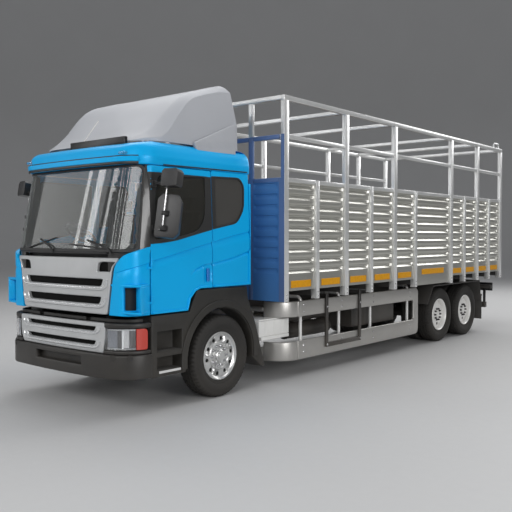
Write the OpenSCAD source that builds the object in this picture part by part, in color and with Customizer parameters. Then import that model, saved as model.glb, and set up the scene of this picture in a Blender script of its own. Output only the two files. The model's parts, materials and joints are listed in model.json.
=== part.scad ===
// Three-axle rigid cargo truck: tilting cab-over cab, ladder chassis, open-top rack body with ribbed walls.
// Millimetres. +Z up, the front faces -Y, +X is the vehicle's left, origin at the middle of the ground outline.

/* [Overall] */
// Front axle to the front of the bumper
front_overhang = 1620; // [1500:10:1750]
// Front axle to the first rear axle
wheelbase = 6350; // [5600:50:6800]
// First rear axle to the second
bogie = 1200; // [1150:10:1400]
// Front axle to the front face of the load body
body_start = 1000; // [960:10:1100]
// Last rear axle to the back of the hinge eyes
rear_overhang = 1360; // [1300:10:1500]
// Load body width
body_w = 2900; // [2800:10:2940]

/* [Wheels] */
// Outer radius of every tyre
tyre_r = 522; // [480:1:540]
// Tyre width
tyre_w = 290; // [260:5:300]
// Radius where the tyre sits on the rim
seat_r = 286; // [280:1:290]
// Middle of the front tyre from the centre plane
front_x = 1075; // [1040:5:1090]
// Middle of the outer rear tyre from the centre plane
dual_x = 1068; // [1050:2:1085]
// Distance between the tyres of a pair
dual_gap = 326; // [310:2:340]
// Kingpin from the centre plane
kingpin_x = 955; // [930:5:970]
// Hand holes in each wheel
hand_holes = 10; // [6:1:12]
// Circle of the rear wheels' hand holes, radius
outer_hole_r = 180; // [175:1:184]

/* [Cab] */
// Cab width at the belt
cab_w = 2400; // [2300:10:2450]
// Cab front face, ahead of the front axle
cab_front = 1560; // [1520:5:1580]
// Cab back wall, behind the front axle
cab_back = 650; // [560:10:700]
// Lower edge of the doors
cab_low = 1140; // [1120:5:1180]
// Lower edge behind the doors
cab_low_back = 1400; // [1380:5:1420]
// Base of the windscreen
belt = 1860; // [1840:5:1900]
// Height of the windscreen
screen_h = 1010; // [950:10:1050]
// Height of the roof panel above the windscreen
roof_h = 300; // [260:10:340]
// Lean of the windscreen, degrees
rake = 11; // [8:0.5:14]
// Radius of the windscreen and bumper corners in plan
corner_r = 350; // [300:10:380]
// Radius of the corner panels in plan
panel_r = 200; // [180:10:240]
// Lean of the mirrors, degrees
mirror_lean = 9.5; // [6:0.5:12]
// How far the tall mirrors' outer edges are swept back, degrees
mirror_sweep = 33; // [26:1:36]
// How far the air vanes stand out from the cab's side
vane_out = 135; // [100:5:140]
// Wall thickness
wall_t = 55; // [45:5:60]
// Door front edge, ahead of the front axle
door_front = 1188; // [1180:2:1195]
// Door back edge, ahead of the front axle
door_back = 146; // [120:2:180]
// Gap around each door
door_gap = 8; // [6:1:10]
// Width of the lifting grille panel
lid_w = 1660; // [1500:20:1680]
// Tilt shaft behind the cab front
tilt_back = 160; // [140:5:200]
// Tilt shaft height
tilt_z = 850; // [820:10:880]
// Roof brow, ahead of the front axle
roof_front = 1420; // [1380:10:1450]

/* [Rack body] */
// Top of the rack
rack_top = 3960; // [3800:10:4100]
// Top of the closed walls
wall_top = 2848; // [2840:2:2900]
// Lower edge of the posts
post_low = 1150; // [1140:5:1165]
// Lower edge of the wall panels
skirt_low = 1290; // [1270:5:1310]
// Deck surface
deck_top = 1330; // [1320:5:1350]
// Upright spacing in the front bays
bay = 761; // [700:1:800]
// Length of the wide bay ahead of the rear wheels
wide_bay = 1460; // [1300:10:1560]
// Width of the tall posts along the wall
tall_w = 100; // [90:5:120]
// Width of the short posts along the wall
short_w = 75; // [60:5:100]
// Depth of walls and posts
post_d = 95; // [80:5:110]
// Height of the first pressed step in a panel
rib_first = 1546; // [1500:2:1550]
// Spacing of the pressed ribs
rib_pitch = 147; // [140:1:147]
// Pressed ribs in a panel
ribs = 9; // [6:1:9]
// Section of the rack's rails
rail = 60; // [40:5:80]

/* [Chassis] */
// Outside width of the frame rails
frame_w = 860; // [820:10:900]
// Frame rail height
frame_h = 260; // [220:10:300]
// Top of the frame rails
frame_top = 1000; // [960:10:1020]
// Top of the bumper
bumper_top = 1060; // [1040:5:1070]
// Lower edge of the bumper
bumper_low = 420; // [380:10:460]
// Side guards in from the body's side face
guard_in = 225; // [205:5:250]

/* [Hidden] */
body_len = wheelbase + bogie + rear_overhang - body_start;
overall = front_overhang + body_start + body_len;
fa_y = front_overhang - overall / 2;
gap = 0.3;
$fn = 64;
hub_z = tyre_r;
axles = [wheelbase, wheelbase + bogie];
wall_x = body_w / 2 - post_d;
back = body_start + body_len - 40;
rear_bay = (back - body_start - tall_w - 5 * bay - wide_bay) / 4;
post_y = [for (k = [0:10]) body_start + (k < 6 ? k * bay : 5 * bay + wide_bay + (k - 6) * rear_bay)];
mid_rail = wall_top + 0.495 * (rack_top - wall_top);
header = belt + screen_h;
roof_top = header + roof_h;
guard_x = body_w / 2 - guard_in;
flange_r = seat_r + 22;
big = 6000;

// A box given by its low and high corners.
module box(a, b) {
    translate(a)
        cube([b[0] - a[0], b[1] - a[1], b[2] - a[2]]);
}

// The same thing on both sides of the vehicle.
module sides() {
    children();
    mirror([1, 0, 0])
        children();
}

// Everything is drawn from the front axle and set into the frame here.
module row() {
    translate([0, fa_y, 0])
        children();
}

// Outline in the side view (Y, Z) carried across from x0 to x1.
module across(x0, x1, pts) {
    translate([x0, 0, 0])
        rotate([90, 0, 90])
            linear_extrude(x1 - x0)
                polygon(pts);
}

// Outline in the end view (X, Z) carried along from y0 to y1.
module along(y0, y1, pts) {
    translate([0, y1, 0])
        rotate([90, 0, 0])
            linear_extrude(y1 - y0)
                polygon(pts);
}

// A round bar along X.
module bar_x(x0, x1, y, z, r) {
    translate([x0, y, z])
        rotate([0, 90, 0])
            cylinder(h = x1 - x0, r = r);
}

// A round bar along Y.
module bar_y(x, y0, y1, z, r) {
    translate([x, y1, z])
        rotate([90, 0, 0])
            cylinder(h = y1 - y0, r = r);
}

// A ring shape about the wheel axis, points are radius and distance outward.
module turned(x, y, pts) {
    translate([x, y, hub_z])
        rotate([0, 90, 0])
            rotate_extrude($fn = 96)
                polygon(pts);
}

// Chassis

module chassis_frame() color([0.12, 0.12, 0.13]) row() {
    w = frame_w / 2;
    sides() {
        difference() {
            box([w - 80, -1330, frame_top - frame_h], [w, back - 60, frame_top]);
            box([w - 90, -1340, frame_top - frame_h + 10], [w - 9, back, frame_top - 10]);
        }
        box([w - 80, -1460, tilt_z - 90], [w, -1330 - gap, tilt_z + 90]);
        box([w - 80, cab_back - 150, frame_top + gap], [w, cab_back - 75, cab_low_back + 19]);
    }
    for (y = [900, 2400, 3900, 5500, wheelbase + bogie / 2, 8500])
        box([-w + 9 + gap, y - 45, frame_top - frame_h + 10 + gap], [w - 9 - gap, y + 45, frame_top - 10 - gap]);
    difference() {
        box([-w + 80 + gap, back - 140, frame_top - frame_h], [w - 80 - gap, back - 60, frame_top]);
        for (x = [-80, 80], z = [-50, 50])
            translate([x, back, frame_top - frame_h / 2 + z])
                rotate([90, 0, 0])
                    cylinder(h = 300, r = 8.5);
    }
    bar_x(-500, -w - gap, -cab_front + tilt_back, tilt_z, 25);
    bar_x(-w + 80 + gap, w - 80 - gap, -cab_front + tilt_back, tilt_z, 25);
    bar_x(w + gap, 500, -cab_front + tilt_back, tilt_z, 25);
}

module engine_block() color([0.3, 0.31, 0.32]) row() {
    box([-320, -1180, 560], [320, 100, 1320]);
    sides()
        for (y = [-950, -150])
            box([319, y, 800], [frame_w / 2 - 9 - gap, y + 120, 900]);
    box([-240, 100 + gap, 600], [240, 760, 980]);
}

module front_axle() color([0.15, 0.15, 0.16]) row() difference() {
    union() {
        sides() {
            translate([kingpin_x, 0, hub_z - 60])
                cylinder(h = 120, r = 46);
            box([560, -40, hub_z - 55], [kingpin_x, 40, hub_z + 45]);
        }
        box([-600, -45, hub_z - 120], [600, 45, hub_z - 15]);
    }
    sides()
        translate([kingpin_x, 0, 0])
            cylinder(h = 2000, r = 22 + 0.05);
}

module rear_axles() color([0.15, 0.15, 0.16]) row() {
    for (y = axles) {
        bar_x(-560, 560, y, hub_z, 85);
        sides()
            bar_x(560, dual_x + 60, y, hub_z, 45);
        intersection() {
            translate([0, y, hub_z])
                sphere(r = 225);
            box([-200, y - 225, 0], [200, y + 225, 2000]);
        }
    }
    bar_y(0, 760 + gap, wheelbase - 225 - gap, frame_top - frame_h - 55, 50);
    bar_y(0, wheelbase + 225 + gap, wheelbase + bogie - 225 - gap, hub_z, 50);
}

module leaf_springs() color([0.2, 0.2, 0.21]) row() sides() {
    z0 = hub_z - 15 + gap;
    across(355, 445, [[-720, 660], [-720, 690], [-400, 655], [0, z0 + 95], [400, 655], [720, 690], [720, 660],
        [400, 605], [90, z0], [-90, z0]]);
    for (y = [-720, 720])
        box([355, y - 40, 690 + gap], [445, y + 40, frame_top - frame_h - gap]);
    m = wheelbase + bogie / 2;
    z1 = hub_z + 85 + gap;
    across(440, 540, [[m - 700, z1], [m - 700, z1 + 35], [m - 300, 700], [m - 150, 760], [m + 150, 760],
        [m + 300, 700], [m + 700, z1 + 35], [m + 700, z1], [m + 500, z1], [m, 665], [m - 500, z1]]);
    box([frame_w / 2 + gap, m - 120, 760 + gap], [540, m + 120, frame_top]);
}

module fuel_tank() color([0.7, 0.72, 0.74]) row() {
    x0 = -guard_x + 145;
    x1 = -frame_w / 2 - 40;
    along(2600, 4200, [[x0, 520], [x0, 880], [x0 + 50, 930], [x1 - 50, 930], [x1, 880], [x1, 520], [x1 - 50, 470],
        [x0 + 50, 470]]);
    for (y = [2900, 3900])
        box([x1 - 50, y - 40, 930 + gap], [-frame_w / 2 - gap, y + 40, frame_top - 20]);
}

module battery_box() color([0.85, 0.85, 0.83]) row() {
    box([frame_w / 2 + 60, 930, 640], [guard_x - 165, 1620, 860]);
    box([frame_w / 2 + gap, 960, 590], [guard_x - 145, 1600, 640 - gap]);
    for (y = [1000, 1500])
        box([frame_w / 2 + gap, y, 590], [frame_w / 2 + 20, y + 60, frame_top - 20]);
}

module air_tanks() color([0.1, 0.1, 0.1]) row() {
    for (z = [620, 870])
        bar_y(frame_w / 2 + 390, 1800, 2900, z, 120);
    for (y = [2000, 2700])
        box([frame_w / 2 + gap, y - 25, 740 + gap], [900, y + 25, 750 - gap]);
    box([frame_w / 2 + gap, 3300, 560], [guard_x - 145, 4700, 930]);
}

// Front end below the cab. The bumper follows the cab's outline in plan.

// Half of the plan outline, pulled in by i: bowed front, round corner, cut-off back corner.
function bow(x, w) = 35 * pow(x / (w / 2 - corner_r), 2);
function half_plan(i, yf, w, yb, r) = let (c = max(60 - i, 5), x = w / 2 - r, y = -yf + bow(x, w) + r) concat(
    [for (k = [0:4]) [k * x / 4, -yf + i + bow(k * x / 4, w)]],
    [for (a = [-80:10:0]) [x + (r - i) * cos(a), y + (r - i) * sin(a)]],
    [[w / 2 - i, yb - i - c], [w / 2 - i - c, yb - i]]);
function plan(i, yf, w, yb, r = corner_r) = let (h = half_plan(i, yf, w, yb, r))
    concat(h, [for (k = [len(h) - 1:-1:1]) [-h[k][0], h[k][1]]]);

// A closed outline from its right half, given from the bottom up.
function both(pts) = concat(pts, [for (k = [len(pts) - 1:-1:0]) [-pts[k][0], pts[k][1]]]);

// Solid with that outline between two heights.
module plan_block(i, z0, z1, yf, w, yb, r = corner_r) {
    translate([0, 0, z0])
        linear_extrude(z1 - z0)
            polygon(plan(i, yf, w, yb, r));
}

module bumper_ring(i, z0, z1) {
    plan_block(i, z0, z1, front_overhang - 20, cab_w + 20, 300);
}

module front_bumper() color([0.13, 0.13, 0.13]) row() {
    difference() {
        bumper_ring(-20, bumper_low, 700);
        bumper_ring(60, bumper_low - 1, 701);
        box([-big, -door_front, 0], [big, big, big]);
        box([-450, -big, 550], [450, -1300, 640]);
    }
    sides()
        difference() {
            bumper_ring(0, 700 + gap, 750);
            bumper_ring(60, 700, 751);
            box([-big, -door_front, 0], [big, big, big]);
            box([-big, -big, 0], [815, big, big]);
        }
    sides()
        difference() {
            bumper_ring(0, 1000 + gap, bumper_top);
            bumper_ring(60, 1000, bumper_top + 1);
            box([-big, -door_front, 0], [big, big, big]);
            box([-big, -big, 0], [815, big, big]);
        }
    sides()
        box([frame_w / 2 - 80, -front_overhang + 89, 560], [frame_w / 2, -1460 - gap, 900]);
}

module lower_grille() color([0.72, 0.74, 0.75]) row() difference() {
    bumper_ring(0, 700 + gap, bumper_top);
    bumper_ring(45, 700, bumper_top + 1);
    sides()
        box([815 - gap, -big, 0], [big, big, big]);
    box([-big, -1200, 0], [big, big, big]);
    for (z = [800, 965])
        box([-650, -big, z], [650, -1300, z + 45]);
}

module headlamps() color([0.85, 0.87, 0.88]) row() sides() difference() {
    bumper_ring(4, 750 + gap, 1000);
    bumper_ring(56, 750, 1001);
    box([-big, -door_front, 0], [big, big, big]);
    box([-big, -big, 0], [815, big, big]);
}

module front_mudguards() color([0.2, 0.2, 0.2]) row() sides() {
    arch = [for (a = [-15:15:180]) [-620 * cos(a + 8), hub_z + 620 * sin(a + 8)]];
    outline = concat([[-door_front + 2, 410], [-door_front + 2, cab_low - 12], [-565, cab_low - 12],
        [-440, cab_low_back - 14], [500, cab_low_back - 14], [520, 1230], [690, 850], [870, 280], [810, 280]],
        [for (k = [len(arch) - 1:-1:1]) arch[k]], [[-640, 410]]);
    difference() {
        across(930, 1210, outline);
        box([0, -door_front + 2 + 60, cab_low], [1150, big, big]);
        box([1040, -1100, 700], [big, -700, 940]);
        box([1040, -1100, 480], [big, -700, 640]);
    }
    box([frame_w / 2 + gap, 640, 900], [930 - gap, 690, 960]);
    box([frame_w / 2 + gap, -1000, 880], [930 - gap, -940, 940]);
}

module rear_mudguards() color([0.2, 0.2, 0.2]) row() sides() {
    a = axles[0];
    b = axles[1];
    x0 = frame_w / 2 + 170;
    x1 = guard_x - 10;
    box([x0, a - 330, 1085], [x1, b + 700, 1110]);
    across(x0, x1, [[a - 330 - gap, 1110], [a - 330 - gap, 1085], [a - 560, 760], [a - 585, 760]]);
    across(x0, x1, [[b + 700 + gap, 1110], [b + 700 + gap, 1085], [b + 780, 650], [b + 805, 650]]);
    for (y = [a + 300, b - 300])
        box([frame_w / 2 + gap, y - 25, 1050], [x0 - gap, y + 25, 1100]);
    box([x0 + 20, b + 815, 260], [x1 - 5, b + 827, 800]);
    box([frame_w / 2 + gap, b + 827 + gap, 760], [x1 - 5, b + 850, 800]);
}

// A rounded corner in the side view, from angle a over a quarter turn.
function round_at(y, z, r, a) = [for (k = [0:5]) [y + r * cos(a + 18 * k), z + r * sin(a + 18 * k)]];

// The side guards: two deep bands that curve in at the front and join at the back.
module side_guards() color([0.62, 0.63, 0.64]) row() sides() {
    r = 360;
    y0 = 1620;
    y1 = 5370;
    difference() {
        across(guard_x - 40, guard_x, concat([[y0, 1110], [y0, 255]], round_at(y1 - 110, 365, 110, -90),
            round_at(y1 - 110, 1000, 110, 0)));
        across(guard_x - 41, guard_x + 1, concat([[y0 - 1, 880], [y0 - 1, 530]], round_at(y1 - 230, 580, 50, -90),
            round_at(y1 - 230, 830, 50, 0)));
    }
    for (z = [[880, 1110], [255, 530]]) {
        translate([guard_x - r, y0 - gap, z[0]])
            rotate([0, 0, -90])
                rotate_extrude(angle = 90)
                    translate([r - 40, 0])
                        square([40, z[1] - z[0]]);
        box([frame_w / 2 + gap, y0 - gap - r, z[0] + 80], [guard_x - r - gap, y0 - gap - r + 40, z[1] - 80]);
    }
}

// Bright tubes that carry the side guards.
module guard_tubes() color([0.8, 0.81, 0.82]) row() sides() {
    for (y = [1764, 2786, 3745, 5050]) {
        translate([guard_x - 40 - 25.3, y, 330])
            cylinder(h = 770, r = 25);
        translate([guard_x - 40 - 25.3 - 60, y, 1100 + gap])
            rotate([90, 0, 0])
                rotate_extrude(angle = 90)
                    translate([60, 0])
                        circle(r = 25);
        bar_x(frame_w / 2 + gap, guard_x - 40 - 25.3 - 60 - gap, y, 1160 + gap, 25);
    }
}

module step_frames() color([0.1, 0.1, 0.1]) row() sides() {
    for (y = [2300, 3250])
        box([guard_x + gap, y, 366], [guard_x + 35, y + 60, 1185]);
    box([guard_x + gap, 2360 + gap, 366], [guard_x + 35, 3250 - gap, 430]);
}

module rear_bumper() color([0.15, 0.15, 0.15]) row() {
    box([-guard_x + 75, back - 160, 480], [guard_x - 75, back - 60, 600]);
    sides()
        box([frame_w / 2 - 70, back - 150, 600 + gap], [frame_w / 2 - 10, back - 90, frame_top - frame_h - gap]);
    sides()
        box([frame_w / 2 + gap, back - 170, 900], [body_w / 2 - 170, back - 90, 980]);
}

module tail_lamps() color([0.6, 0.06, 0.05]) row() sides()
    box([body_w / 2 - 610, back - 90 + gap, 850], [body_w / 2 - 170, back - 40, 1030]);

// Load body

// Section of a wall panel: depth outward from the inner face, height.
function panel_section(low) = concat([[0, low], [60, low]],
    [for (k = [0:ribs - 1], p = [[60, -11], [20, 11], [20, 46], [60, 62]]) [p[0], rib_first + rib_pitch * k + p[1]]],
    [[60, wall_top - rail - gap], [0, wall_top - rail - gap]]);

module load_deck() color([0.3, 0.3, 0.31]) row() {
    box([-wall_x + gap, body_start + 40 + gap, skirt_low], [wall_x - gap, back - 60, deck_top]);
    for (y = post_y)
        box([-wall_x + gap, max(y + 5, body_start + 40 + gap), post_low + 40],
            [wall_x - gap, min(y + 75, back - 60), skirt_low - gap]);
    sides()
        box([frame_w / 2 - 80, body_start + 100, frame_top + gap], [frame_w / 2, back - 80, post_low + 40 - gap]);
}

// The front wall: two posts with ribbed sheets and rails between them.
module front_wall() color([0.05, 0.15, 0.42]) row() {
    post_x = 850;
    for (x = [[-wall_x + gap, -post_x - 40], [-post_x + 40, post_x - 40], [post_x + 40, wall_x - gap]]) {
        translate([x[0], body_start + 40, 0])
            mirror([0, 1, 0])
                rotate([90, 0, 90])
                    linear_extrude(x[1] - x[0])
                        polygon([for (p = panel_section(post_low)) [p[0] * 0.65, p[1]]]);
        box([x[0], body_start, wall_top - rail], [x[1], body_start + 40, wall_top]);
        box([x[0], body_start, mid_rail - 25], [x[1], body_start + 40, mid_rail + 35]);
    }
    sides()
        box([post_x - 40 + gap, body_start, post_low], [post_x + 40 - gap, body_start + 40, rack_top - rail - gap]);
}

module wall_panels() color([0.66, 0.67, 0.66]) row() sides() {
    for (k = [0:9]) {
        y0 = post_y[k] + (k % 2 == 0 ? tall_w : short_w) + gap;
        y1 = post_y[k + 1] - gap;
        low = k == 5 ? post_low + 20 : skirt_low;
        translate([wall_x, y1, 0])
            rotate([90, 0, 0])
                linear_extrude(y1 - y0)
                    polygon(panel_section(low));
        box([wall_x, y0, wall_top - rail], [body_w / 2 - 10, y1, wall_top]);
    }
}

module wall_posts() color([0.7, 0.71, 0.7]) row() sides()
    for (k = [0:10]) {
        w = k % 2 == 0 ? tall_w : short_w;
        box([wall_x, post_y[k], post_low], [body_w / 2, post_y[k] + w, wall_top]);
        if (k % 2 == 0)
            box([body_w / 2 - 62, post_y[k], wall_top - 1], [body_w / 2, post_y[k] + w, rack_top - rail - 10 - gap]);
        if (k == 10)
            for (z = hinge_z) {
                box([hinge_x - 18, back - 1, z - 32], [hinge_x + 18, back + 40, z - 2]);
                translate([hinge_x, back + 20, z - 3])
                    cylinder(h = 70, r = 12);
            }
    }

module rack_rails() color([0.82, 0.83, 0.83]) row() {
    sides() {
        box([body_w / 2 - rail, body_start, rack_top - rail - 10], [body_w / 2, back, rack_top]);
        for (k = [0:2:8])
            box([body_w / 2 - 45, post_y[k] + tall_w + gap, mid_rail - 25],
                [body_w / 2 - 5, post_y[k + 2] - gap, mid_rail + 35]);
    }
    for (k = [0:2:10])
        box([-body_w / 2 + rail + gap, post_y[k], rack_top - rail], [body_w / 2 - rail - gap, post_y[k] + 70, rack_top]);
}

// A back door leaf with its three lift-off hinges, drawn on the left.
hinge_z = [1450, 2080, 2700];
hinge_x = wall_x + 30;

module rear_leaf() {
    px = hinge_x;
    translate([0, back - 45, 0])
        box([6, 0, deck_top + 10], [wall_x - 8, 20, wall_top - 10]);
    for (z = [1380, 2000, 2620])
        box([6, back - 25, z], [wall_x - 8, back - 2, z + 180]);
    for (z = hinge_z)
        difference() {
            union() {
                translate([px, back + 20, z])
                    cylinder(h = 60, r = 19.5);
                box([850, back - 3, z], [wall_x - 10, back + 8, z + 60]);
                box([wall_x - 30, back + 1, z], [px, back + 8, z + 60]);
            }
            translate([px, back + 20, z - 1])
                cylinder(h = 62, r = 12.05);
        }
}

// Wheels

module tyre(x, y) turned(x, y, [[seat_r + gap, -99.5], [flange_r + 2, -105.5], [seat_r + 40, -118], [400, -tyre_w / 2], [470, -tyre_w / 2 + 4],
    [505, -tyre_w / 2 + 18], [tyre_r, -tyre_w / 2 + 45], [tyre_r, tyre_w / 2 - 45], [505, tyre_w / 2 - 18],
    [470, tyre_w / 2 - 4], [400, tyre_w / 2], [seat_r + 40, 118], [flange_r + 2, 105.5], [seat_r + gap, 99.5]]);

// Opening in an outer disc, for the valve of the inner tyre.
module valve_opening(x, y)
    for (a = [-6, 6])
        translate([x, y, hub_z])
            rotate([a, 0, 0])
                translate([-60, 0, -outer_hole_r])
                    rotate([0, 90, 0])
                        cylinder(h = 120, r = 24, $fn = 32);

// Ring of hand holes through a disc.
module holes(x, y, r) {
    for (k = [0:hand_holes - 1])
        translate([x, y, hub_z])
            rotate([k * 360 / hand_holes, 0, 0])
                translate([-60, 0, r])
                    rotate([0, 90, 0])
                        cylinder(h = 120, r = 32, $fn = 32);
}

module front_rim() difference() {
    union() {
        turned(front_x, 0, [[262, -118], [flange_r, -118], [flange_r, -106], [seat_r, -100], [seat_r, 100], [flange_r, 106],
            [flange_r, 118], [262, 118]]);
        turned(front_x, 0, [[40.05, -60], [130, -60], [130, 40], [170, 62], [262, 50], [262, 66], [170, 78],
            [130, 78], [110, 110], [60, 118], [40.05, 118]]);
    }
    holes(front_x + 56, 0, 215);
}

module rear_rim(y) difference() {
    m = dual_x - dual_gap / 2;
    o = dual_gap / 2;
    union() {
        for (s = [o, -o])
            turned(m + s, y, [[262, -118], [flange_r, -118], [flange_r, -106], [seat_r, -100], [seat_r, 100], [flange_r, 106],
                [flange_r, 118], [262, 118]]);
        turned(m, y, [[45.05, -110], [120, -110], [120, -14], [210, -14], [262, -o + 80], [262, -o + 60],
            [270, -o + 60], [270, -o + 84], [218, 0], [270, o - 84], [270, o - 60], [262, o - 60], [262, o - 80],
            [210, 14], [150, 14], [150, 60], [112, 90], [112, o + 76], [45.05, o + 76]]);
        turned(m + o, y, [[111, 44], [200, 44], [262, 16], [262, 34], [212, 66], [111, 70]]);
    }
    holes(m + 20, y, outer_hole_r);
    valve_opening(m + o + 50, y);
}

module knuckle() {
    for (z = [hub_z - 60 - 70, hub_z + 60 + gap])
        difference() {
            union() {
                translate([kingpin_x, 0, z])
                    cylinder(h = 70 - gap, r = 44);
                box([kingpin_x, -44, z], [kingpin_x + 58, 44, z + 70 - gap]);
            }
        }
    translate([kingpin_x, 0, hub_z - 130])
        cylinder(h = 260, r = 22);
    box([kingpin_x + 50, -60, hub_z - 130], [kingpin_x + 58, 60, hub_z + 130]);
    bar_x(kingpin_x + 50, front_x + 100, 0, hub_z, 40);
}

// Cab

// Outer form of the cab below the roof, pulled in by i.
module cab_form(i) intersection() {
    union() {
        plan_block(i, cab_low - 10, belt, cab_front, cab_w, cab_back);
        intersection() {
            translate([0, -cab_front, belt])
                rotate([-rake, 0, 0])
                    translate([0, cab_front, -20])
                        linear_extrude(screen_h + 290)
                            polygon(plan(i, cab_front, cab_w, cab_back + 400));
            plan_block(i, belt, header, cab_front + 300, cab_w, cab_back);
        }
    }
    along(-big, big, [[-cab_w / 2 + i, 0], [cab_w / 2 - i, 0], [cab_w / 2 - i, belt + 140],
        [cab_w / 2 - 35 - i, header], [-cab_w / 2 + 35 + i, header], [-cab_w / 2 + i, belt + 140]]);
}

module cab_shell(i) difference() {
    cab_form(0);
    cab_form(i);
}

// Side windows as outlines in the side view.
door_window = [[-door_front + 98, belt + 119], [-door_front + 398, belt + 142], [-door_back - 193, belt + 243],
    [-door_back - 54, belt + 274], [-door_back - 54, header - 80], [-door_front + 168, header - 80],
    [-door_front + 128, header - 130]];
quarter_window = [[-door_back + 56, header - 83], [cab_back - 258, header - 69], [cab_back - 175, header - 161],
    [cab_back - 192, belt + 542], [cab_back - 326, belt + 366], [-door_back + 56, belt + 290]];

// Axis of the grille lid's hinge pins.
lid_y = -cab_front + 38;
lid_z = 1788;

module cab_floor() color([0.1, 0.1, 0.1]) row() {
    plan_block(wall_t + gap, cab_low_back + 20, cab_low_back + 60, cab_front - 75, cab_w, cab_back);
    y = -cab_front + tilt_back;
    sides()
        difference() {
            union() {
                bar_x(455, 495, y, tilt_z, 55);
                across(455, 495, [[y + 45, tilt_z - 32], [y - 30, tilt_z + 20], [y + 400, cab_low_back + 20 - gap],
                    [y + 550, cab_low_back + 20 - gap]]);
            }
            bar_x(400, 600, y, tilt_z, 25.05);
        }
}

module cab_front() color([0.1, 0.1, 0.1]) row() {
    difference() {
        intersection() {
            cab_shell(130);
            box([-lid_w / 2, -big, cab_low_back + 20], [lid_w / 2, -1200, belt]);
        }
        difference() {
            box([-big, -big, 0], [big, big, 1842]);
            plan_block(90, 0, big, cab_front, cab_w, cab_back);
        }
    }
    for (x = [-600, 600])
        difference() {
            union() {
                bar_x(x - 20, x + 20, lid_y, lid_z, 12);
                box([x - 20, lid_y, lid_z - 8], [x + 20, lid_y + 75, lid_z + 8]);
            }
            bar_x(x - 30, x + 30, lid_y, lid_z, 6.05);
        }
}

// Upper edge of a corner panel in the front view: it sweeps up from the grille to the pillar.
panel_edge = [[lid_w / 2 - 1, belt - 250], [lid_w / 2 + 95, belt - 225], [lid_w / 2 + 120, belt - 160],
    [lid_w / 2 + 165, belt - 105], [lid_w / 2 + 220, belt - 45], [lid_w / 2 + 280, belt + 1]];

module above_edge(d) along(-big, 0, concat([for (p = panel_edge) [p[0], p[1] + d]],
    [[lid_w / 2 + 280, big], [lid_w / 2 - 1, big]]));

// A corner panel with its air vane: two shelves and a blade that stands off the corner.
module cab_corners() color([0.0, 0.3, 0.68]) row() sides() {
    x = cab_w / 2;
    tip = [x + vane_out, -cab_front + 107];
    difference() {
        union() {
            difference() {
                plan_block(0, cab_low, belt, cab_front, cab_w, cab_back, panel_r);
                plan_block(wall_t, cab_low - 1, belt + 1, cab_front, cab_w, cab_back, panel_r);
            }
            for (z = [cab_low + 30, cab_low + 335])
                translate([0, 0, z])
                    linear_extrude(25)
                        polygon([[lid_w / 2 + 50, -cab_front + 48], tip, [x + 11, -door_front - 27],
                            [x - 20, -door_front - 27], [x - 40, -cab_front + 230], [lid_w / 2 + 60, -cab_front + 90]]);
            translate([0, 0, cab_low + 30])
                linear_extrude(330)
                    polygon([tip, [x + 11, -door_front - 27], [x - 20, -door_front - 27], [x - 20, -door_front - 60],
                        [tip[0] - 93, tip[1] + 37]]);
        }
        box([-big, -big, 0], [lid_w / 2 + gap, big, big]);
        box([-big, -door_front, 0], [big, big, big]);
        above_edge(0);
        along(-cab_front, -door_front - 70, [[lid_w / 2 + 250, cab_low + 55 + gap], [x + 10, cab_low + 55 + gap],
            [x + 10, cab_low + 335 - gap], [lid_w / 2 + 250, cab_low + 335 - gap]]);
    }
    door_pins();
}

// Windscreen pillars, each with a foot that fills the corner above the panel's edge.
module cab_pillars() color([0.08, 0.08, 0.08]) row() sides() {
    difference() {
        intersection() {
            cab_shell(wall_t);
            box([700, -big, belt + 1], [big, -door_front, header - 1]);
        }
        screen_prism();
    }
    intersection() {
        difference() {
            plan_block(20, cab_low, belt, cab_front, cab_w, cab_back);
            plan_block(75, cab_low - 1, belt + 1, cab_front, cab_w, cab_back);
        }
        above_edge(1);
        box([lid_w / 2 + gap, -big, 0], [big, big, belt]);
    }
}

module screen_prism() along(-big, 0, both([[cab_w / 2 - 70, 0], [cab_w / 2 - 70, belt], [cab_w / 2 - 110, header],
    [cab_w / 2 - 110, big]]));

module windscreen() color([0.1, 0.12, 0.13, 0.5]) row() intersection() {
    difference() {
        cab_form(12);
        cab_form(24);
    }
    screen_prism();
    box([-big, -big, belt], [big, -door_front, header]);
}

module cab_sides() color([0.0, 0.3, 0.68]) row() sides() difference() {
    intersection() {
        cab_shell(wall_t);
        box([0, -door_back, cab_low_back], [big, cab_back - wall_t - 10, header]);
    }
    across(0, big, quarter_window);
}

module quarter_windows() color([0.06, 0.06, 0.06]) row() sides() intersection() {
    difference() {
        cab_form(12);
        cab_form(24);
    }
    across(0, big, quarter_window);
}

module cab_back_wall() color([0.0, 0.3, 0.68]) row() intersection() {
    cab_shell(wall_t);
    box([-big, cab_back - wall_t - 10, cab_low_back], [big, big, header]);
}

// Roof panel with its brow over the windscreen.
module cab_roof() color([0.0, 0.3, 0.68]) row() difference() {
    x = cab_w / 2 - 35;
    intersection() {
        plan_block(0, header, roof_top, roof_front, cab_w - 70, cab_back);
        across(-big, big, [[-roof_front, 0], [-roof_front, header + 0.4 * roof_h], [-roof_front + 25, roof_top - 110],
            [-roof_front + 130, roof_top - 50], [-roof_front + 320, roof_top - 15], [-roof_front + 570, roof_top],
            [cab_back - 150, roof_top], [cab_back - 50, roof_top - 40], [cab_back, roof_top - 120], [cab_back, 0]]);
        along(-big, big, both([[x, 0], [x, roof_top - 110], [x - 25, roof_top - 50], [x - 105, roof_top - 12],
            [x - 265, roof_top]]));
    }
    intersection() {
        plan_block(60, header - 1, roof_top - 65, roof_front - 55, cab_w - 70, cab_back);
        along(-big, big, both([[x - 60, 0], [x - 60, roof_top - 140], [x - 165, roof_top - 65]]));
    }
}

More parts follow.
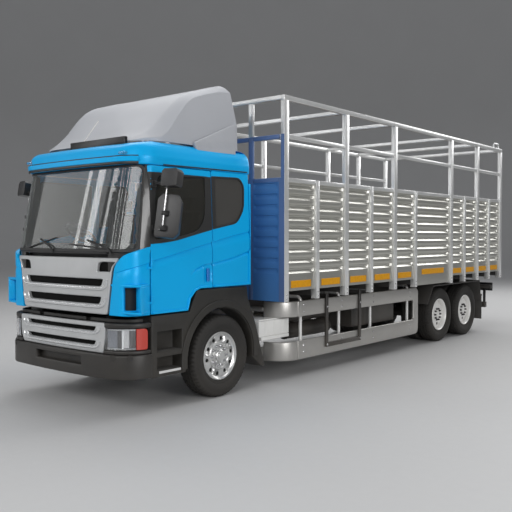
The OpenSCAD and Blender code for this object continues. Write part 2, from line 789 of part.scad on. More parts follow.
// Air deflector on the roof: a shell open at the back.
deflector_side = [[-1160, 0], [-960, 165], [-740, 360], [-560, 535], [-440, 635], [-320, 693], [230, 856], [310, 740],
    [390, 490], [440, 350], [450, 0]];

module deflector_form(i) intersection() {
    x = cab_w / 2 - 115;
    translate([0, 0, roof_top + gap])
        across(-big, big, [for (p = deflector_side) [p[0] + (p[0] > 100 ? 2 * i : i), p[1] - i]]);
    linear_extrude(big)
        polygon(both([[x - 385, -1170 + i], [x - 185, -1090 + i], [x - 85 - i / 2, -990 + i], [x - 25 - i, -860],
            [x - i, -500], [x - i, 600]]));
    along(-big, big, both([[x - i, 0], [x - i, roof_top + 640], [x - 30 - i, roof_top + 760 - i],
        [x - 105 - i, roof_top + 835 - i], [x - 240, roof_top + 862 - i]]));
}

module roof_deflector() color([0.75, 0.77, 0.8]) row() {
    difference() {
        deflector_form(0);
        deflector_form(35);
    }
    for (y = [-330, 200])
        box([-cab_w / 2 + 135, y, roof_top + gap], [cab_w / 2 - 135, y + 60, roof_top + 40]);
}

module dashboard() color([0.1, 0.1, 0.1]) row() {
    across(-1000, 1000, [[-1396, 1600], [-1396, 1800], [-1300, 1850], [-1250, 1960], [-1000, 1930], [-960, 1800], [-1150, 1600]]);
    translate([-520, -880, 2080])
        rotate([-35, 0, 0])
            rotate_extrude()
                translate([210, 0])
                    circle(r = 18, $fn = 24);
    translate([-520, -880, 2080])
        rotate([-35, 0, 0]) {
            cylinder(h = 30, r = 60, center = true);
            translate([0, 0, -330])
                cylinder(h = 330, r = 30);
            box([-200, -20, -10], [200, 20, 10]);
        }
}

module seats() color([0.15, 0.15, 0.16]) row()
    for (x = [-620, 620]) {
        box([x - 230, -620, cab_low_back + 60 + gap], [x + 230, -120, 1780]);
        box([x - 260, -660, 1780 + gap], [x + 260, -100, 1900]);
        across(x - 250, x + 250, [[-240, 1900 + gap], [-60, 1900 + gap], [60, 2560], [-60, 2580]]);
    }

module grille_lid() color([0.7, 0.72, 0.73]) row() {
    difference() {
        intersection() {
            difference() {
                plan_block(0, cab_low, 1800, cab_front, cab_w, cab_back);
                plan_block(40, cab_low - 1, 1801, cab_front, cab_w, cab_back);
            }
            box([-lid_w / 2 + 4, -big, 0], [lid_w / 2 - 4, 0, big]);
        }
        for (x = [-600, 600])
            box([x - 30, -big, 1758], [x + 30, 0, big]);
        for (z = [1265, 1450])
            box([-780, -big, z], [780, 0, z + 60]);
    }
    for (x = [-600, 600])
        bar_x(x - 32, x + 32, lid_y, lid_z, 6);
}

// A door with its window cut, drawn on the left.
module door() difference() {
    intersection() {
        cab_shell(wall_t);
        box([0, -door_front + door_gap, cab_low], [big, -door_back - door_gap, header - door_gap]);
    }
    across(0, big, door_window);
    across(0, big, [[-575, 0], [-575, cab_low], [-455, cab_low_back], [200, cab_low_back], [200, 0]]);
}

// Door hinges stand just outside the skin: eyes on the door, pins on the cab corner.
door_hinge_x = cab_w / 2 + 12;
door_hinge_y = -door_front + 2;

module door_eyes() difference() {
    for (z = [1300, 1700]) {
        translate([door_hinge_x, door_hinge_y, z])
            cylinder(h = 60, r = 11);
        box([cab_w / 2 - 2, door_hinge_y + 8, z], [door_hinge_x, door_hinge_y + 50, z + 60]);
        box([door_hinge_x - 6, door_hinge_y, z], [door_hinge_x, door_hinge_y + 50, z + 60]);
    }
    translate([door_hinge_x, door_hinge_y, 0])
        cylinder(h = 3000, r = 6.05);
}

module door_pins() for (z = [1300, 1700]) {
    translate([door_hinge_x, door_hinge_y, z - 32])
        cylinder(h = 90, r = 6);
    translate([door_hinge_x, door_hinge_y, z - 32])
        cylinder(h = 31, r = 11);
    box([cab_w / 2 - 8, door_hinge_y - 50, z - 32], [door_hinge_x, door_hinge_y - 4, z - 1]);
    box([door_hinge_x - 6, door_hinge_y - 50, z - 32], [door_hinge_x, door_hinge_y, z - 1]);
}

module door_glass() intersection() {
    difference() {
        cab_form(15);
        cab_form(23);
    }
    across(0, big, door_window);
}

// The door with its hinge eyes.
module hung_door() {
    door();
    door_eyes();
}

// Half width of the cab skin above the belt.
function skin_x(z) = cab_w / 2 - 35 * (z - belt - 140) / (screen_h - 140);

// Mirrors on a door: a tall one, a wide-angle one above it and their arms.
module mirrors() {
    x = cab_w / 2;
    translate([x + 158, -1049, belt + 410])
        rotate([-mirror_lean, 0, 0])
            rotate([0, 0, mirror_sweep])
                along(-45, 45, [[-125, -250], [85, -250], [140, -190], [140, 170], [90, 250], [-90, 250], [-140, 190],
                    [-140, -225]]);
    translate([x + 264, -1096, belt + 840])
        rotate([-mirror_lean, 0, 0])
            rotate([0, 0, 10])
                along(-60, 60, [[-95, -100], [90, -100], [110, -75], [110, 65], [80, 100], [-85, 100], [-110, 70], [-110, -85]]);
    bar_x(skin_x(belt + 280) + 0.86, x + 92, -1120, belt + 280, 14);
    bar_x(skin_x(belt + 790) + 0.86, x + 200, -1120, belt + 790, 14);
}

module door_left() color([0.0, 0.3, 0.68]) row() hung_door();
module door_right() color([0.0, 0.3, 0.68]) row() mirror([1, 0, 0]) hung_door();
module door_glass_left() color([0.2, 0.22, 0.24, 0.5]) row() door_glass();
module door_glass_right() color([0.2, 0.22, 0.24, 0.5]) row() mirror([1, 0, 0]) door_glass();
module mirrors_left() color([0.1, 0.1, 0.1]) row() mirrors();
module mirrors_right() color([0.1, 0.1, 0.1]) row() mirror([1, 0, 0]) mirrors();
module rear_door_left() color([0.66, 0.67, 0.66]) row() rear_leaf();
module rear_door_right() color([0.66, 0.67, 0.66]) row() mirror([1, 0, 0]) rear_leaf();
module knuckle_left() color([0.2, 0.2, 0.2]) row() knuckle();
module knuckle_right() color([0.2, 0.2, 0.2]) row() mirror([1, 0, 0]) knuckle();
module tyre_front_left() color([0.07, 0.07, 0.07]) row() tyre(front_x, 0);
module tyre_front_right() color([0.07, 0.07, 0.07]) row() mirror([1, 0, 0]) tyre(front_x, 0);
module rim_front_left() color([0.75, 0.76, 0.77]) row() front_rim();
module rim_front_right() color([0.75, 0.76, 0.77]) row() mirror([1, 0, 0]) front_rim();
module twin(y) {
    tyre(dual_x, y);
    tyre(dual_x - dual_gap, y);
}
module tyres_mid_left() color([0.07, 0.07, 0.07]) row() twin(axles[0]);
module tyres_mid_right() color([0.07, 0.07, 0.07]) row() mirror([1, 0, 0]) twin(axles[0]);
module tyres_rear_left() color([0.07, 0.07, 0.07]) row() twin(axles[1]);
module tyres_rear_right() color([0.07, 0.07, 0.07]) row() mirror([1, 0, 0]) twin(axles[1]);
module rims_mid_left() color([0.75, 0.76, 0.77]) row() rear_rim(axles[0]);
module rims_mid_right() color([0.75, 0.76, 0.77]) row() mirror([1, 0, 0]) rear_rim(axles[0]);
module rims_rear_left() color([0.75, 0.76, 0.77]) row() rear_rim(axles[1]);
module rims_rear_right() color([0.75, 0.76, 0.77]) row() mirror([1, 0, 0]) rear_rim(axles[1]);

chassis_frame();
engine_block();
front_axle();
rear_axles();
leaf_springs();
fuel_tank();
battery_box();
air_tanks();
front_bumper();
lower_grille();
headlamps();
front_mudguards();
rear_mudguards();
side_guards();
guard_tubes();
step_frames();
load_deck();
front_wall();
wall_panels();
wall_posts();
rack_rails();
rear_bumper();
tail_lamps();
knuckle_left();
knuckle_right();
tyre_front_left();
tyre_front_right();
rim_front_left();
rim_front_right();
tyres_mid_left();
tyres_mid_right();
rims_mid_left();
rims_mid_right();
tyres_rear_left();
tyres_rear_right();
rims_rear_left();
rims_rear_right();
cab_floor();
cab_front();
cab_corners();
cab_pillars();
cab_sides();
cab_back_wall();
cab_roof();
windscreen();
quarter_windows();
roof_deflector();
dashboard();
seats();
grille_lid();
door_left();
door_right();
door_glass_left();
door_glass_right();
mirrors_left();
mirrors_right();
rear_door_left();
rear_door_right();
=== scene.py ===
import json
import math
import bmesh
import bpy
from mathutils import Matrix, Vector, kdtree
from mathutils.geometry import delaunay_2d_cdt

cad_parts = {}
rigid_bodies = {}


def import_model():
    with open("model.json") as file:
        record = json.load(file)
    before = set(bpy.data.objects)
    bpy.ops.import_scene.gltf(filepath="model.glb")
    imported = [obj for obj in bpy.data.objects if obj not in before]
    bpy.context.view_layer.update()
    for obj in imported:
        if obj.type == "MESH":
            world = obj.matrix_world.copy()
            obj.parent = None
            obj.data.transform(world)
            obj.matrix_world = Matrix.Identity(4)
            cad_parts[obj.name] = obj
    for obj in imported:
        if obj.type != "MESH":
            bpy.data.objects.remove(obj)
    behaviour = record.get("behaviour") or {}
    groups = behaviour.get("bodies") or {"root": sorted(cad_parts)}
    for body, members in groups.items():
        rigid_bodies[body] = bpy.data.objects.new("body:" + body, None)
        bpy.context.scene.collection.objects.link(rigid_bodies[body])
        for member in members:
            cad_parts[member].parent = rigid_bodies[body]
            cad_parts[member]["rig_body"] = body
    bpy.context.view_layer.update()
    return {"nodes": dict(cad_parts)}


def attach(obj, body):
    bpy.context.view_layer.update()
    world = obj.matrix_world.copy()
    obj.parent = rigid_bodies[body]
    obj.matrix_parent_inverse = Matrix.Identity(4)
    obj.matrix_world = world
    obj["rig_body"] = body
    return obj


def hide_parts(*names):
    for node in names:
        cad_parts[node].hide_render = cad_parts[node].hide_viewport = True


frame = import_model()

# ---------------------------------------------------------------------------------------------------
# Studio: a pale floor that runs into a pale wall of light, with a large softbox in front of the truck,
# one over it and strip lights that give the glass and the paint something to mirror.
scene = bpy.context.scene
scene.view_settings.view_transform = "Standard"
lens = bpy.data.cameras.new("camera")
lens.sensor_width, lens.lens, lens.clip_end = 36.0, 50.25, 300.0
camera = bpy.data.objects.new("camera", lens)
camera.location = (7.335, -10.347, 2.036)
camera.rotation_euler = (math.radians(90 - 1.519), 0, math.radians(39.66))
scene.collection.objects.link(camera)
scene.camera = camera
for name, place, aim, size, watts in (
    ("softbox_front", (5.0, -16.7, 8.0), (0, -4.2, 1.8), (9.0, 5.0), 700),
    ("softbox_top", (-1.6, -0.8, 11.0), (0, -0.8, 0), (6.0, 13.0), 620),
    ("softbox_side", (16.0, -6.5, 4.2), (1.0, 0, 1.8), (6.0, 5.0), 820),
    ("softbox_kicker", (4.0, 17.0, 11.0), (1.4, 1.0, 2.0), (10.0, 8.0), 1300),
    ("strip_one", (-10.2, -13.1, 6.5), (0, -5.1, 2.4), (0.25, 8.0), 22),
    ("strip_two", (-9.7, -13.8, 6.5), (0, -5.1, 2.4), (0.50, 8.0), 50),
    ("strip_three", (-9.0, -14.5, 6.5), (0, -5.1, 2.4), (0.20, 8.0), 20),
    ("strip_four", (-7.6, -15.5, 6.5), (0, -5.1, 2.4), (0.70, 8.0), 70),
    ("strip_five", (-5.2, -16.9, 6.5), (0, -5.1, 2.4), (0.50, 8.0), 60),
    ("strip_six", (-1.2, -17.6, 6.0), (0, -5.1, 2.4), (0.80, 7.0), 90),
    ("panel_left", (-12.0, -13.0, 6.0), (0, -5.1, 2.6), (5.6, 9.5), 165),
    ("softbox_back", (-9.0, 12.0, 7.0), (0, 2.0, 1.5), (8.0, 5.0), 420),
):
    lamp = bpy.data.lights.new(name, "AREA")
    lamp.shape, lamp.size, lamp.size_y, lamp.energy = "RECTANGLE", size[0], size[1], watts
    light = bpy.data.objects.new(name, lamp)
    light.location = place
    light.rotation_euler = (Vector(aim) - Vector(place)).to_track_quat("-Z", "Y").to_euler()
    scene.collection.objects.link(light)
scene.world = bpy.data.worlds.new("studio_air")
scene.world.use_nodes = True
scene.world.node_tree.nodes["Background"].inputs["Color"].default_value = (0.62, 0.63, 0.65, 1)
scene.world.node_tree.nodes["Background"].inputs["Strength"].default_value = 0.55


# A finish is one material: a base tone that clouds a little, a fine grain in gloss and relief, and, where
# asked, road dust that thickens towards the ground.
def fill(node, **values):
    """Sets the inputs of a node; an underscore in a key stands for a space."""
    for key, value in values.items():
        node.inputs[key.replace("_", " ")].default_value = value


def tune(look, **values):
    """Sets inputs of a finish that are not among its own settings."""
    fill(look.node_tree.nodes["Principled BSDF"], **values)


def finish(name, colour, rough, metal=0.0, coat=0.0, mottle=2.5, vary=0.06, grain=140.0, bump=0.03, dust=0.0,
           stretch=(1, 1, 1)):
    look = bpy.data.materials.new(name)
    look.use_nodes = True
    look.diffuse_color = (*colour, 1)
    add, link = look.node_tree.nodes.new, look.node_tree.links.new
    skin = look.node_tree.nodes["Principled BSDF"]
    where, turn, cloud, speck, tone, gloss, relief = (add("ShaderNode" + kind) for kind in (
        "TexCoord", "Mapping", "TexNoise", "TexNoise", "ValToRGB", "MapRange", "Bump"))
    fill(skin, Metallic=metal, Coat_Weight=coat, Coat_Roughness=0.05)
    fill(turn, Scale=stretch)
    fill(cloud, Scale=mottle, Detail=5.0)
    fill(speck, Scale=grain, Detail=3.0)
    fill(gloss, To_Min=rough * 0.82, To_Max=min(rough * 1.22, 1))
    fill(relief, Strength=bump, Distance=0.004)
    for stop, place, lift in zip(tone.color_ramp.elements, (0.3, 0.72), (1 - vary, 1 + vary)):
        stop.position, stop.color = place, (*[min(c * lift, 1.0) for c in colour], 1)
    link(where.outputs["Object"], turn.inputs["Vector"])
    for noise in (cloud, speck):
        link(turn.outputs[0], noise.inputs["Vector"])
    link(cloud.outputs[0], tone.inputs["Fac"])
    link(speck.outputs[0], gloss.inputs["Value"])
    link(speck.outputs[0], relief.inputs["Height"])
    link(gloss.outputs["Result"], skin.inputs["Roughness"])
    link(relief.outputs["Normal"], skin.inputs["Normal"])
    base = tone.outputs["Color"]
    if dust:
        part, height, drift, thick, cover = (add("ShaderNode" + kind) for kind in (
            "SeparateXYZ", "MapRange", "TexNoise", "Math", "Mix"))
        fill(height, From_Min=0.15, From_Max=1.5, To_Min=dust, To_Max=0.0)
        fill(drift, Scale=3.1, Detail=6.0)
        thick.operation, cover.data_type = "MULTIPLY", "RGBA"
        cover.inputs[7].default_value = (0.21, 0.18, 0.145, 1)
        link(where.outputs["Object"], part.inputs["Vector"])
        link(where.outputs["Object"], drift.inputs["Vector"])
        link(part.outputs["Z"], height.inputs["Value"])
        link(height.outputs["Result"], thick.inputs[0])
        link(drift.outputs[0], thick.inputs[1])
        link(thick.outputs["Value"], cover.inputs[0])
        link(base, cover.inputs[6])
        base = cover.outputs[2]
    link(base, skin.inputs["Base Color"])
    return look


def around(n, shift=0.0):
    """The angles of n even steps round a circle."""
    return [2 * math.pi * (k + shift) / n for k in range(n)]


floor_look = finish("pale_floor", (0.52, 0.52, 0.52), 0.6, mottle=0.4, vary=0.012, grain=9.0, bump=0.0)
floor_mesh = bpy.data.meshes.new("floor")
TURNS, FLAT, BOW = 96, 40, 14
sweep = [(0.02, 0), (20, 0), (FLAT, 0)]
sweep += [(FLAT + BOW * math.sin(math.radians(a)), BOW - BOW * math.cos(math.radians(a))) for a in range(6, 91, 6)]
sweep += [(FLAT + BOW, BOW + 20)]
floor_mesh.from_pydata(
    [(r * math.cos(t), r * math.sin(t), z) for r, z in sweep for t in around(TURNS)], [],
    [(i * TURNS + k, i * TURNS + (k + 1) % TURNS, (i + 1) * TURNS + (k + 1) % TURNS, (i + 1) * TURNS + k)
     for i in range(len(sweep) - 1) for k in range(TURNS)] + [tuple(range(TURNS))])
floor_mesh.shade_smooth()
floor_mesh.materials.append(floor_look)
floor = bpy.data.objects.new("floor", floor_mesh)
scene.collection.objects.link(floor)

# ---------------------------------------------------------------------------------------------------
# Ladder frame and driveline: folded steel rails with riveted crossmembers, dipped in black, with cast
# axles, leaf springs and the engine hung between them. Their CAD solids stay, with edges broken.
AXLE = -3.645
SIDES = (("left", 1), ("right", -1))


def shown(name, mesh, body, stands_for=()):
    """Puts a mesh in the scene on its body and for the nodes that it replaces."""
    piece = bpy.data.objects.new(name, mesh)
    scene.collection.objects.link(piece)
    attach(piece, body)
    if stands_for:
        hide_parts(*stands_for)
    return piece


def made(name, b, look, body, stands_for=(), sharp=35, closed=True):
    """A piece from its faces; closed joins its seams and turns its faces outward first."""
    if closed:
        bmesh.ops.remove_doubles(b, verts=b.verts, dist=1e-6)
        bmesh.ops.recalc_face_normals(b, faces=b.faces)
    mesh = bpy.data.meshes.new(name)
    b.normal_update()
    b.to_mesh(mesh)
    b.free()
    mesh.materials.append(look)
    mesh.shade_smooth()
    mesh.set_sharp_from_angle(angle=math.radians(sharp))
    return shown(name, mesh, body, stands_for)


def broken_edges(node, look, r, steps=2):
    """A node's own solid with every hard edge rounded, in its place."""
    b = bmesh.new()
    b.from_mesh(frame["nodes"][node].data)
    bmesh.ops.remove_doubles(b, verts=b.verts, dist=2e-5)
    bmesh.ops.dissolve_limit(b, angle_limit=math.radians(1), verts=b.verts, edges=b.edges)
    hard = [e for e in b.edges if len(e.link_faces) == 2 and e.calc_face_angle(0) > math.radians(28)]
    bmesh.ops.bevel(b, geom=hard, offset=r, segments=steps, profile=0.5, affect="EDGES", clamp_overlap=True)
    bmesh.ops.triangulate(b, faces=[f for f in b.faces if len(f.verts) > 4])
    made(node + "_finished", b, look, frame["nodes"][node]["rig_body"], (node,), closed=False)


def grown(name, seed, look, settings, wire):
    """The mesh that a node tree makes from a seed; settings are its number sockets, and wire adds its own nodes."""
    tree = bpy.data.node_groups.new(name + "_nodes", "GeometryNodeTree")
    socket = tree.interface.new_socket
    socket("Seed", in_out="INPUT", socket_type="NodeSocketGeometry")
    keys = {}
    for label, value in settings.items():
        kind = "NodeSocketInt" if isinstance(value, int) else "NodeSocketFloat"
        keys[socket(label, in_out="INPUT", socket_type=kind).identifier] = value
    socket("Grown", in_out="OUTPUT", socket_type="NodeSocketGeometry")
    add, link = tree.nodes.new, tree.links.new
    given, end, real, paint = (add(kind) for kind in (
        "NodeGroupInput", "NodeGroupOutput", "GeometryNodeRealizeInstances", "GeometryNodeSetMaterial"))
    paint.inputs["Material"].default_value = look
    link(wire(lambda kind: add(kind if "Node" in kind else "GeometryNode" + kind), link, given.outputs), real.inputs[0])
    link(real.outputs[0], paint.inputs["Geometry"])
    link(paint.outputs[0], end.inputs[0])
    holder = bpy.data.objects.new(name + "_holder", seed)
    scene.collection.objects.link(holder)
    step = holder.modifiers.new("grow", "NODES")
    step.node_group = tree
    for key, value in keys.items():
        step[key] = value
    mesh = bpy.data.meshes.new_from_object(holder.evaluated_get(bpy.context.evaluated_depsgraph_get()))
    bpy.data.objects.remove(holder)
    return mesh


def bolts(name, spots, look, body, radius=0.012, height=0.009, sides=6):
    """Hexagon heads on round flanges, set on spots that each give a place and the way the head faces."""
    seed = bpy.data.meshes.new(name + "_spots")
    seed.from_pydata([place for place, facing in spots], [], [])
    out = seed.attributes.new("out", "FLOAT_VECTOR", "POINT")
    for k, (place, facing) in enumerate(spots):
        out.data[k].vector = facing

    def wire(add, link, given):
        head, flange, join = add("MeshCone"), add("MeshCone"), add("JoinGeometry")
        way, turn, put = add("InputNamedAttribute"), add("FunctionNodeAlignRotationToVector"), add("InstanceOnPoints")
        for factor, source, target in ((0.82, "Radius", head.inputs["Radius Top"]),
                                       (1.35, "Radius", flange.inputs["Radius Bottom"]),
                                       (0.35, "Height", flange.inputs["Depth"])):
            times = add("ShaderNodeMath")
            times.operation = "MULTIPLY"
            times.inputs[1].default_value = factor
            link(given[source], times.inputs[0])
            link(times.outputs[0], target)
        way.data_type = "FLOAT_VECTOR"
        fill(way, Name="out")
        fill(flange, Vertices=14)
        link(given["Sides"], head.inputs["Vertices"])
        link(given["Radius"], head.inputs["Radius Bottom"])
        link(given["Height"], head.inputs["Depth"])
        link(given["Radius"], flange.inputs["Radius Top"])
        link(head.outputs["Mesh"], join.inputs[0])
        link(flange.outputs["Mesh"], join.inputs[0])
        link(way.outputs["Attribute"], turn.inputs["Vector"])
        link(given["Seed"], put.inputs["Points"])
        link(join.outputs[0], put.inputs["Instance"])
        link(turn.outputs[0], put.inputs["Rotation"])
        return put.outputs[0]

    mesh = grown(name, seed, look, {"Radius": radius, "Height": height, "Sides": sides}, wire)
    mesh.name = name
    shown(name, mesh, body)


def box_in(b, low, high, r=0.004, steps=2, s=1, y0=AXLE):
    """A box with rounded edges, measured along from the front axle; s of -1 puts it on the other side."""
    xs = sorted((s * low[0], s * high[0]))
    low, high = Vector((xs[0], y0 + low[1], low[2])), Vector((xs[1], y0 + high[1], high[2]))
    cube = bmesh.ops.create_cube(b, size=1.0, matrix=Matrix.Translation((low + high) / 2) @ Matrix.Diagonal(
        (*(high - low), 1.0)))
    if r:
        bmesh.ops.bevel(b, geom=list({e for v in cube["verts"] for e in v.link_edges}), offset=r, segments=steps,
                        profile=0.5, affect="EDGES", clamp_overlap=True)


def loft_in(b, rings, ends=True):
    """A skin over a row of rings, with its two ends filled, or joined to each other."""
    for one, two in zip(rings, rings[1:] if ends else rings[1:] + rings[:1]):
        for j in range(len(one)):
            b.faces.new((one[j - 1], one[j], two[j], two[j - 1]))
    if ends:
        b.faces.new(rings[0])
        b.faces.new(list(reversed(rings[-1])))


chassis_black = finish("chassis_black", (0.018, 0.018, 0.019), 0.42, vary=0.18, grain=60, bump=0.06, dust=0.55)
cast_iron = finish("cast_iron", (0.05, 0.05, 0.052), 0.6, metal=0.3, vary=0.2, grain=45, bump=0.25, dust=0.5)
for node in ("chassis_frame", "leaf_springs", "front_axle", "rear_axles"):
    broken_edges(node, chassis_black if node != "rear_axles" else cast_iron, 0.004)
for node in ("knuckle_left", "knuckle_right"):
    broken_edges(node, cast_iron, 0.003)
b = bmesh.new()
for low, high, r in (((-0.32, -1.18, 0.72), (0.32, 0.10, 1.05), 0.03), ((-0.26, -1.15, 1.06), (0.26, 0.02, 1.32), 0.04),
                     ((-0.25, -1.12, 0.56), (0.25, 0.04, 0.73), 0.05),
                     ((-0.24, 0.1003, 0.60), (0.24, 0.76, 0.98), 0.06)):
    box_in(b, low, high, r, 3)
for k in range(6):
    box_in(b, (-0.2, -1.155 + k * 0.2, 1.28), (0.2, -1.005 + k * 0.2, 1.32), 0.012)
for x in (-0.43, 0.32):
    for y in (-0.95, -0.15):
        box_in(b, (x, y, 0.80), (x + 0.11, y + 0.12, 0.90), 0.008)
made("engine_and_gearbox", b, cast_iron, "chassis", ("engine_block",))
rail_rivets = [((s * 0.4305, AXLE + y + dy, z), (s, 0, 0)) for s in (-1, 1) for y in (
    0.9, 2.4, 3.9, 5.5, 6.95, 8.5) for dy in (-0.03, 0.03) for z in (0.79, 0.95)]
bolts("frame_rivets", rail_rivets, chassis_black, "chassis", 0.011, 0.009, 10)

# ---------------------------------------------------------------------------------------------------
# Wheels: steel-belted tyres on forged alloy rims with ten hand holes and ten nuts, single at the front
# with the disc facing out, twin at the back with the disc dished in. Turned rings, cut and bolted.
rubber = finish("tyre_rubber", (0.013, 0.0125, 0.0118), 0.72, vary=0.12, grain=85, bump=0.12, dust=0.15)
alloy = finish("polished_alloy", (0.78, 0.78, 0.77), 0.30, metal=1.0, vary=0.04, grain=30, bump=0.02)
rim_paint = finish("silver_rim_paint", (0.82, 0.81, 0.79), 0.34, metal=0.2, vary=0.04, grain=60, bump=0.02)
nut_steel = finish("nut_steel", (0.62, 0.62, 0.63), 0.22, metal=1.0, vary=0.05, grain=80, bump=0.02)
# Near-black for the rear hubs and nuts, and for rings behind the wheel discs that are painted shade.
hub_dark_and_painted_shade = finish("hub_shadow", (0.03, 0.03, 0.03), 0.6, vary=0.2, grain=40, bump=0.1)
TYRE_R, FRONT_X, DUAL_X, DUAL_GAP = 0.522, 1.075, 1.068, 0.326
TYRE = [(0.2865, 0.098), (0.300, 0.103), (0.312, 0.110), (0.326, 0.1175), (0.345, 0.1265), (0.352, 0.1245),
        (0.359, 0.1295), (0.400, 0.1445), (0.436, 0.1465), (0.443, 0.1445), (0.470, 0.141), (0.492, 0.134)]


def tyre_in(b, x, y, lugs=56):
    """One tyre: smooth sides with raised rings, and a tread of blocks with four grooves round it."""
    tread = [(0.505, 0.127, 1), (0.519, 0.108, 1), (0.5215, 0.093, 1), (0.5215, 0.068, 0), (0.509, 0.066, 0),
             (0.509, 0.056, 0), (0.522, 0.054, 2), (0.522, 0.014, 2), (0.510, 0.012, 0), (0.510, 0.004, 0),
             (0.522, 0.002, 2)]
    half = [(r, a, 0) for r, a in TYRE] + tread
    ring = [(r, -a, k) for r, a, k in half] + [(r, a, k) for r, a, k in reversed(half)]
    rows = []
    for k, angle in enumerate(around(lugs * 3)):
        row, phase = [], k % 3
        for r, a, kind in ring:
            if kind == 1 and phase == 2:
                r -= 0.018
            elif kind == 2 and phase == (2 if a > 0 else 0):
                r -= 0.009
            row.append(b.verts.new((x + a, y + r * math.sin(angle), TYRE_R + r * math.cos(angle))))
        rows.append(row)
    loft_in(b, rows, ends=False)


def turned_in(b, x, y, s, profile, steps=72):
    """A ring turned about the wheel axis from points of radius and distance outward, which is the way of s."""
    loft_in(b, [[b.verts.new((x + s * a, y + r * math.sin(t), TYRE_R + r * math.cos(t))) for r, a in profile]
                for t in around(steps)], ends=False)


def pierced_disc_in(b, x, y, inner, outer, holes, ring, hole_r, depth, thick, sign=1, turn=0.25):
    """A dished disc with round hand holes; depth gives its place outward for a radius."""
    rim, edge = 96, 24
    centres = [Vector((ring * math.cos(a), ring * math.sin(a))) for a in around(holes, turn)]
    loops = [[Vector((r * math.cos(t), r * math.sin(t))) for t in around(rim)] for r in (outer, inner)]
    loops += [[Vector((ring * math.cos(a) + hole_r * math.cos(t), ring * math.sin(a) + hole_r * math.sin(t)))
               for t in around(edge)] for a in around(holes, turn)]
    flat, edges = [], []
    for loop in loops:
        start = len(flat)
        flat += loop
        edges += [(start + j, start + (j + 1) % len(loop)) for j in range(len(loop))]
    points, _, faces = delaunay_2d_cdt(flat, edges, [], 0, 1e-6)[:3]
    levels = [[b.verts.new((x + sign * (depth(p.length) - d), y + p.x, TYRE_R + p.y)) for p in points]
              for d in (0.0, thick)]
    for face in faces:
        c = sum((points[i] for i in face), Vector((0, 0))) / 3
        if inner < c.length < outer and all((c - hole).length > hole_r * 0.97 for hole in centres):
            b.faces.new([levels[0][i] for i in face])
            b.faces.new([levels[1][i] for i in reversed(face)])
    for loop in loops:
        ids = [min(range(len(points)), key=lambda i: (points[i] - p).length_squared) for p in loop]
        for i, j in zip(ids, ids[1:] + ids[:1]):
            b.faces.new((levels[0][i], levels[0][j], levels[1][j], levels[1][i]))
    bmesh.ops.delete(b, geom=[v for v in b.verts if not v.link_faces], context="VERTS")


def nut_ring(x, y, r, s):
    """Spots for the ten nuts of a wheel."""
    return [((s * x, y + r * math.sin(t), TYRE_R + r * math.cos(t)), (s, 0, 0)) for t in around(10, 0.5)]


RIM = [(0.262, -0.118), (0.300, -0.118), (0.308, -0.114), (0.308, -0.107), (0.2862, -0.099), (0.2862, 0.099),
       (0.308, 0.107), (0.3085, 0.113), (0.303, 0.1185), (0.292, 0.119), (0.282, 0.110), (0.276, 0.098), (0.262, 0.090)]
FRONT_HUB = [(0.042, 0.02), (0.130, 0.02), (0.178, 0.080), (0.184, 0.098), (0.180, 0.104), (0.168, 0.102),
             (0.160, 0.088), (0.090, 0.084), (0.078, 0.096), (0.075, 0.118), (0.066, 0.124), (0.042, 0.125)]
FRONT_CAP = [(0.0, 0.124), (0.04, 0.124), (0.052, 0.128), (0.048, 0.134), (0.0, 0.135)]
DISH = [(0.264, 0.125), (0.252, 0.05), (0.225, 0.018), (0.205, 0.014), (0.205, 0.002), (0.222, 0.002), (0.268, 0.05),
        (0.272, 0.12)]
REAR_FACE = [(0.262, 0.034), (0.212, 0.066), (0.206, 0.0665), (0.206, 0.0545), (0.210, 0.054), (0.262, 0.016)]
REAR_CAP = [(0.0, 0.069), (0.072, 0.068), (0.068, 0.083), (0.052, 0.090), (0.0, 0.092)]
REAR_HUB = [(0.046, -0.1), (0.117, -0.1), (0.117, 0.09), (0.110, 0.10), (0.110, 0.205), (0.046, 0.205)]
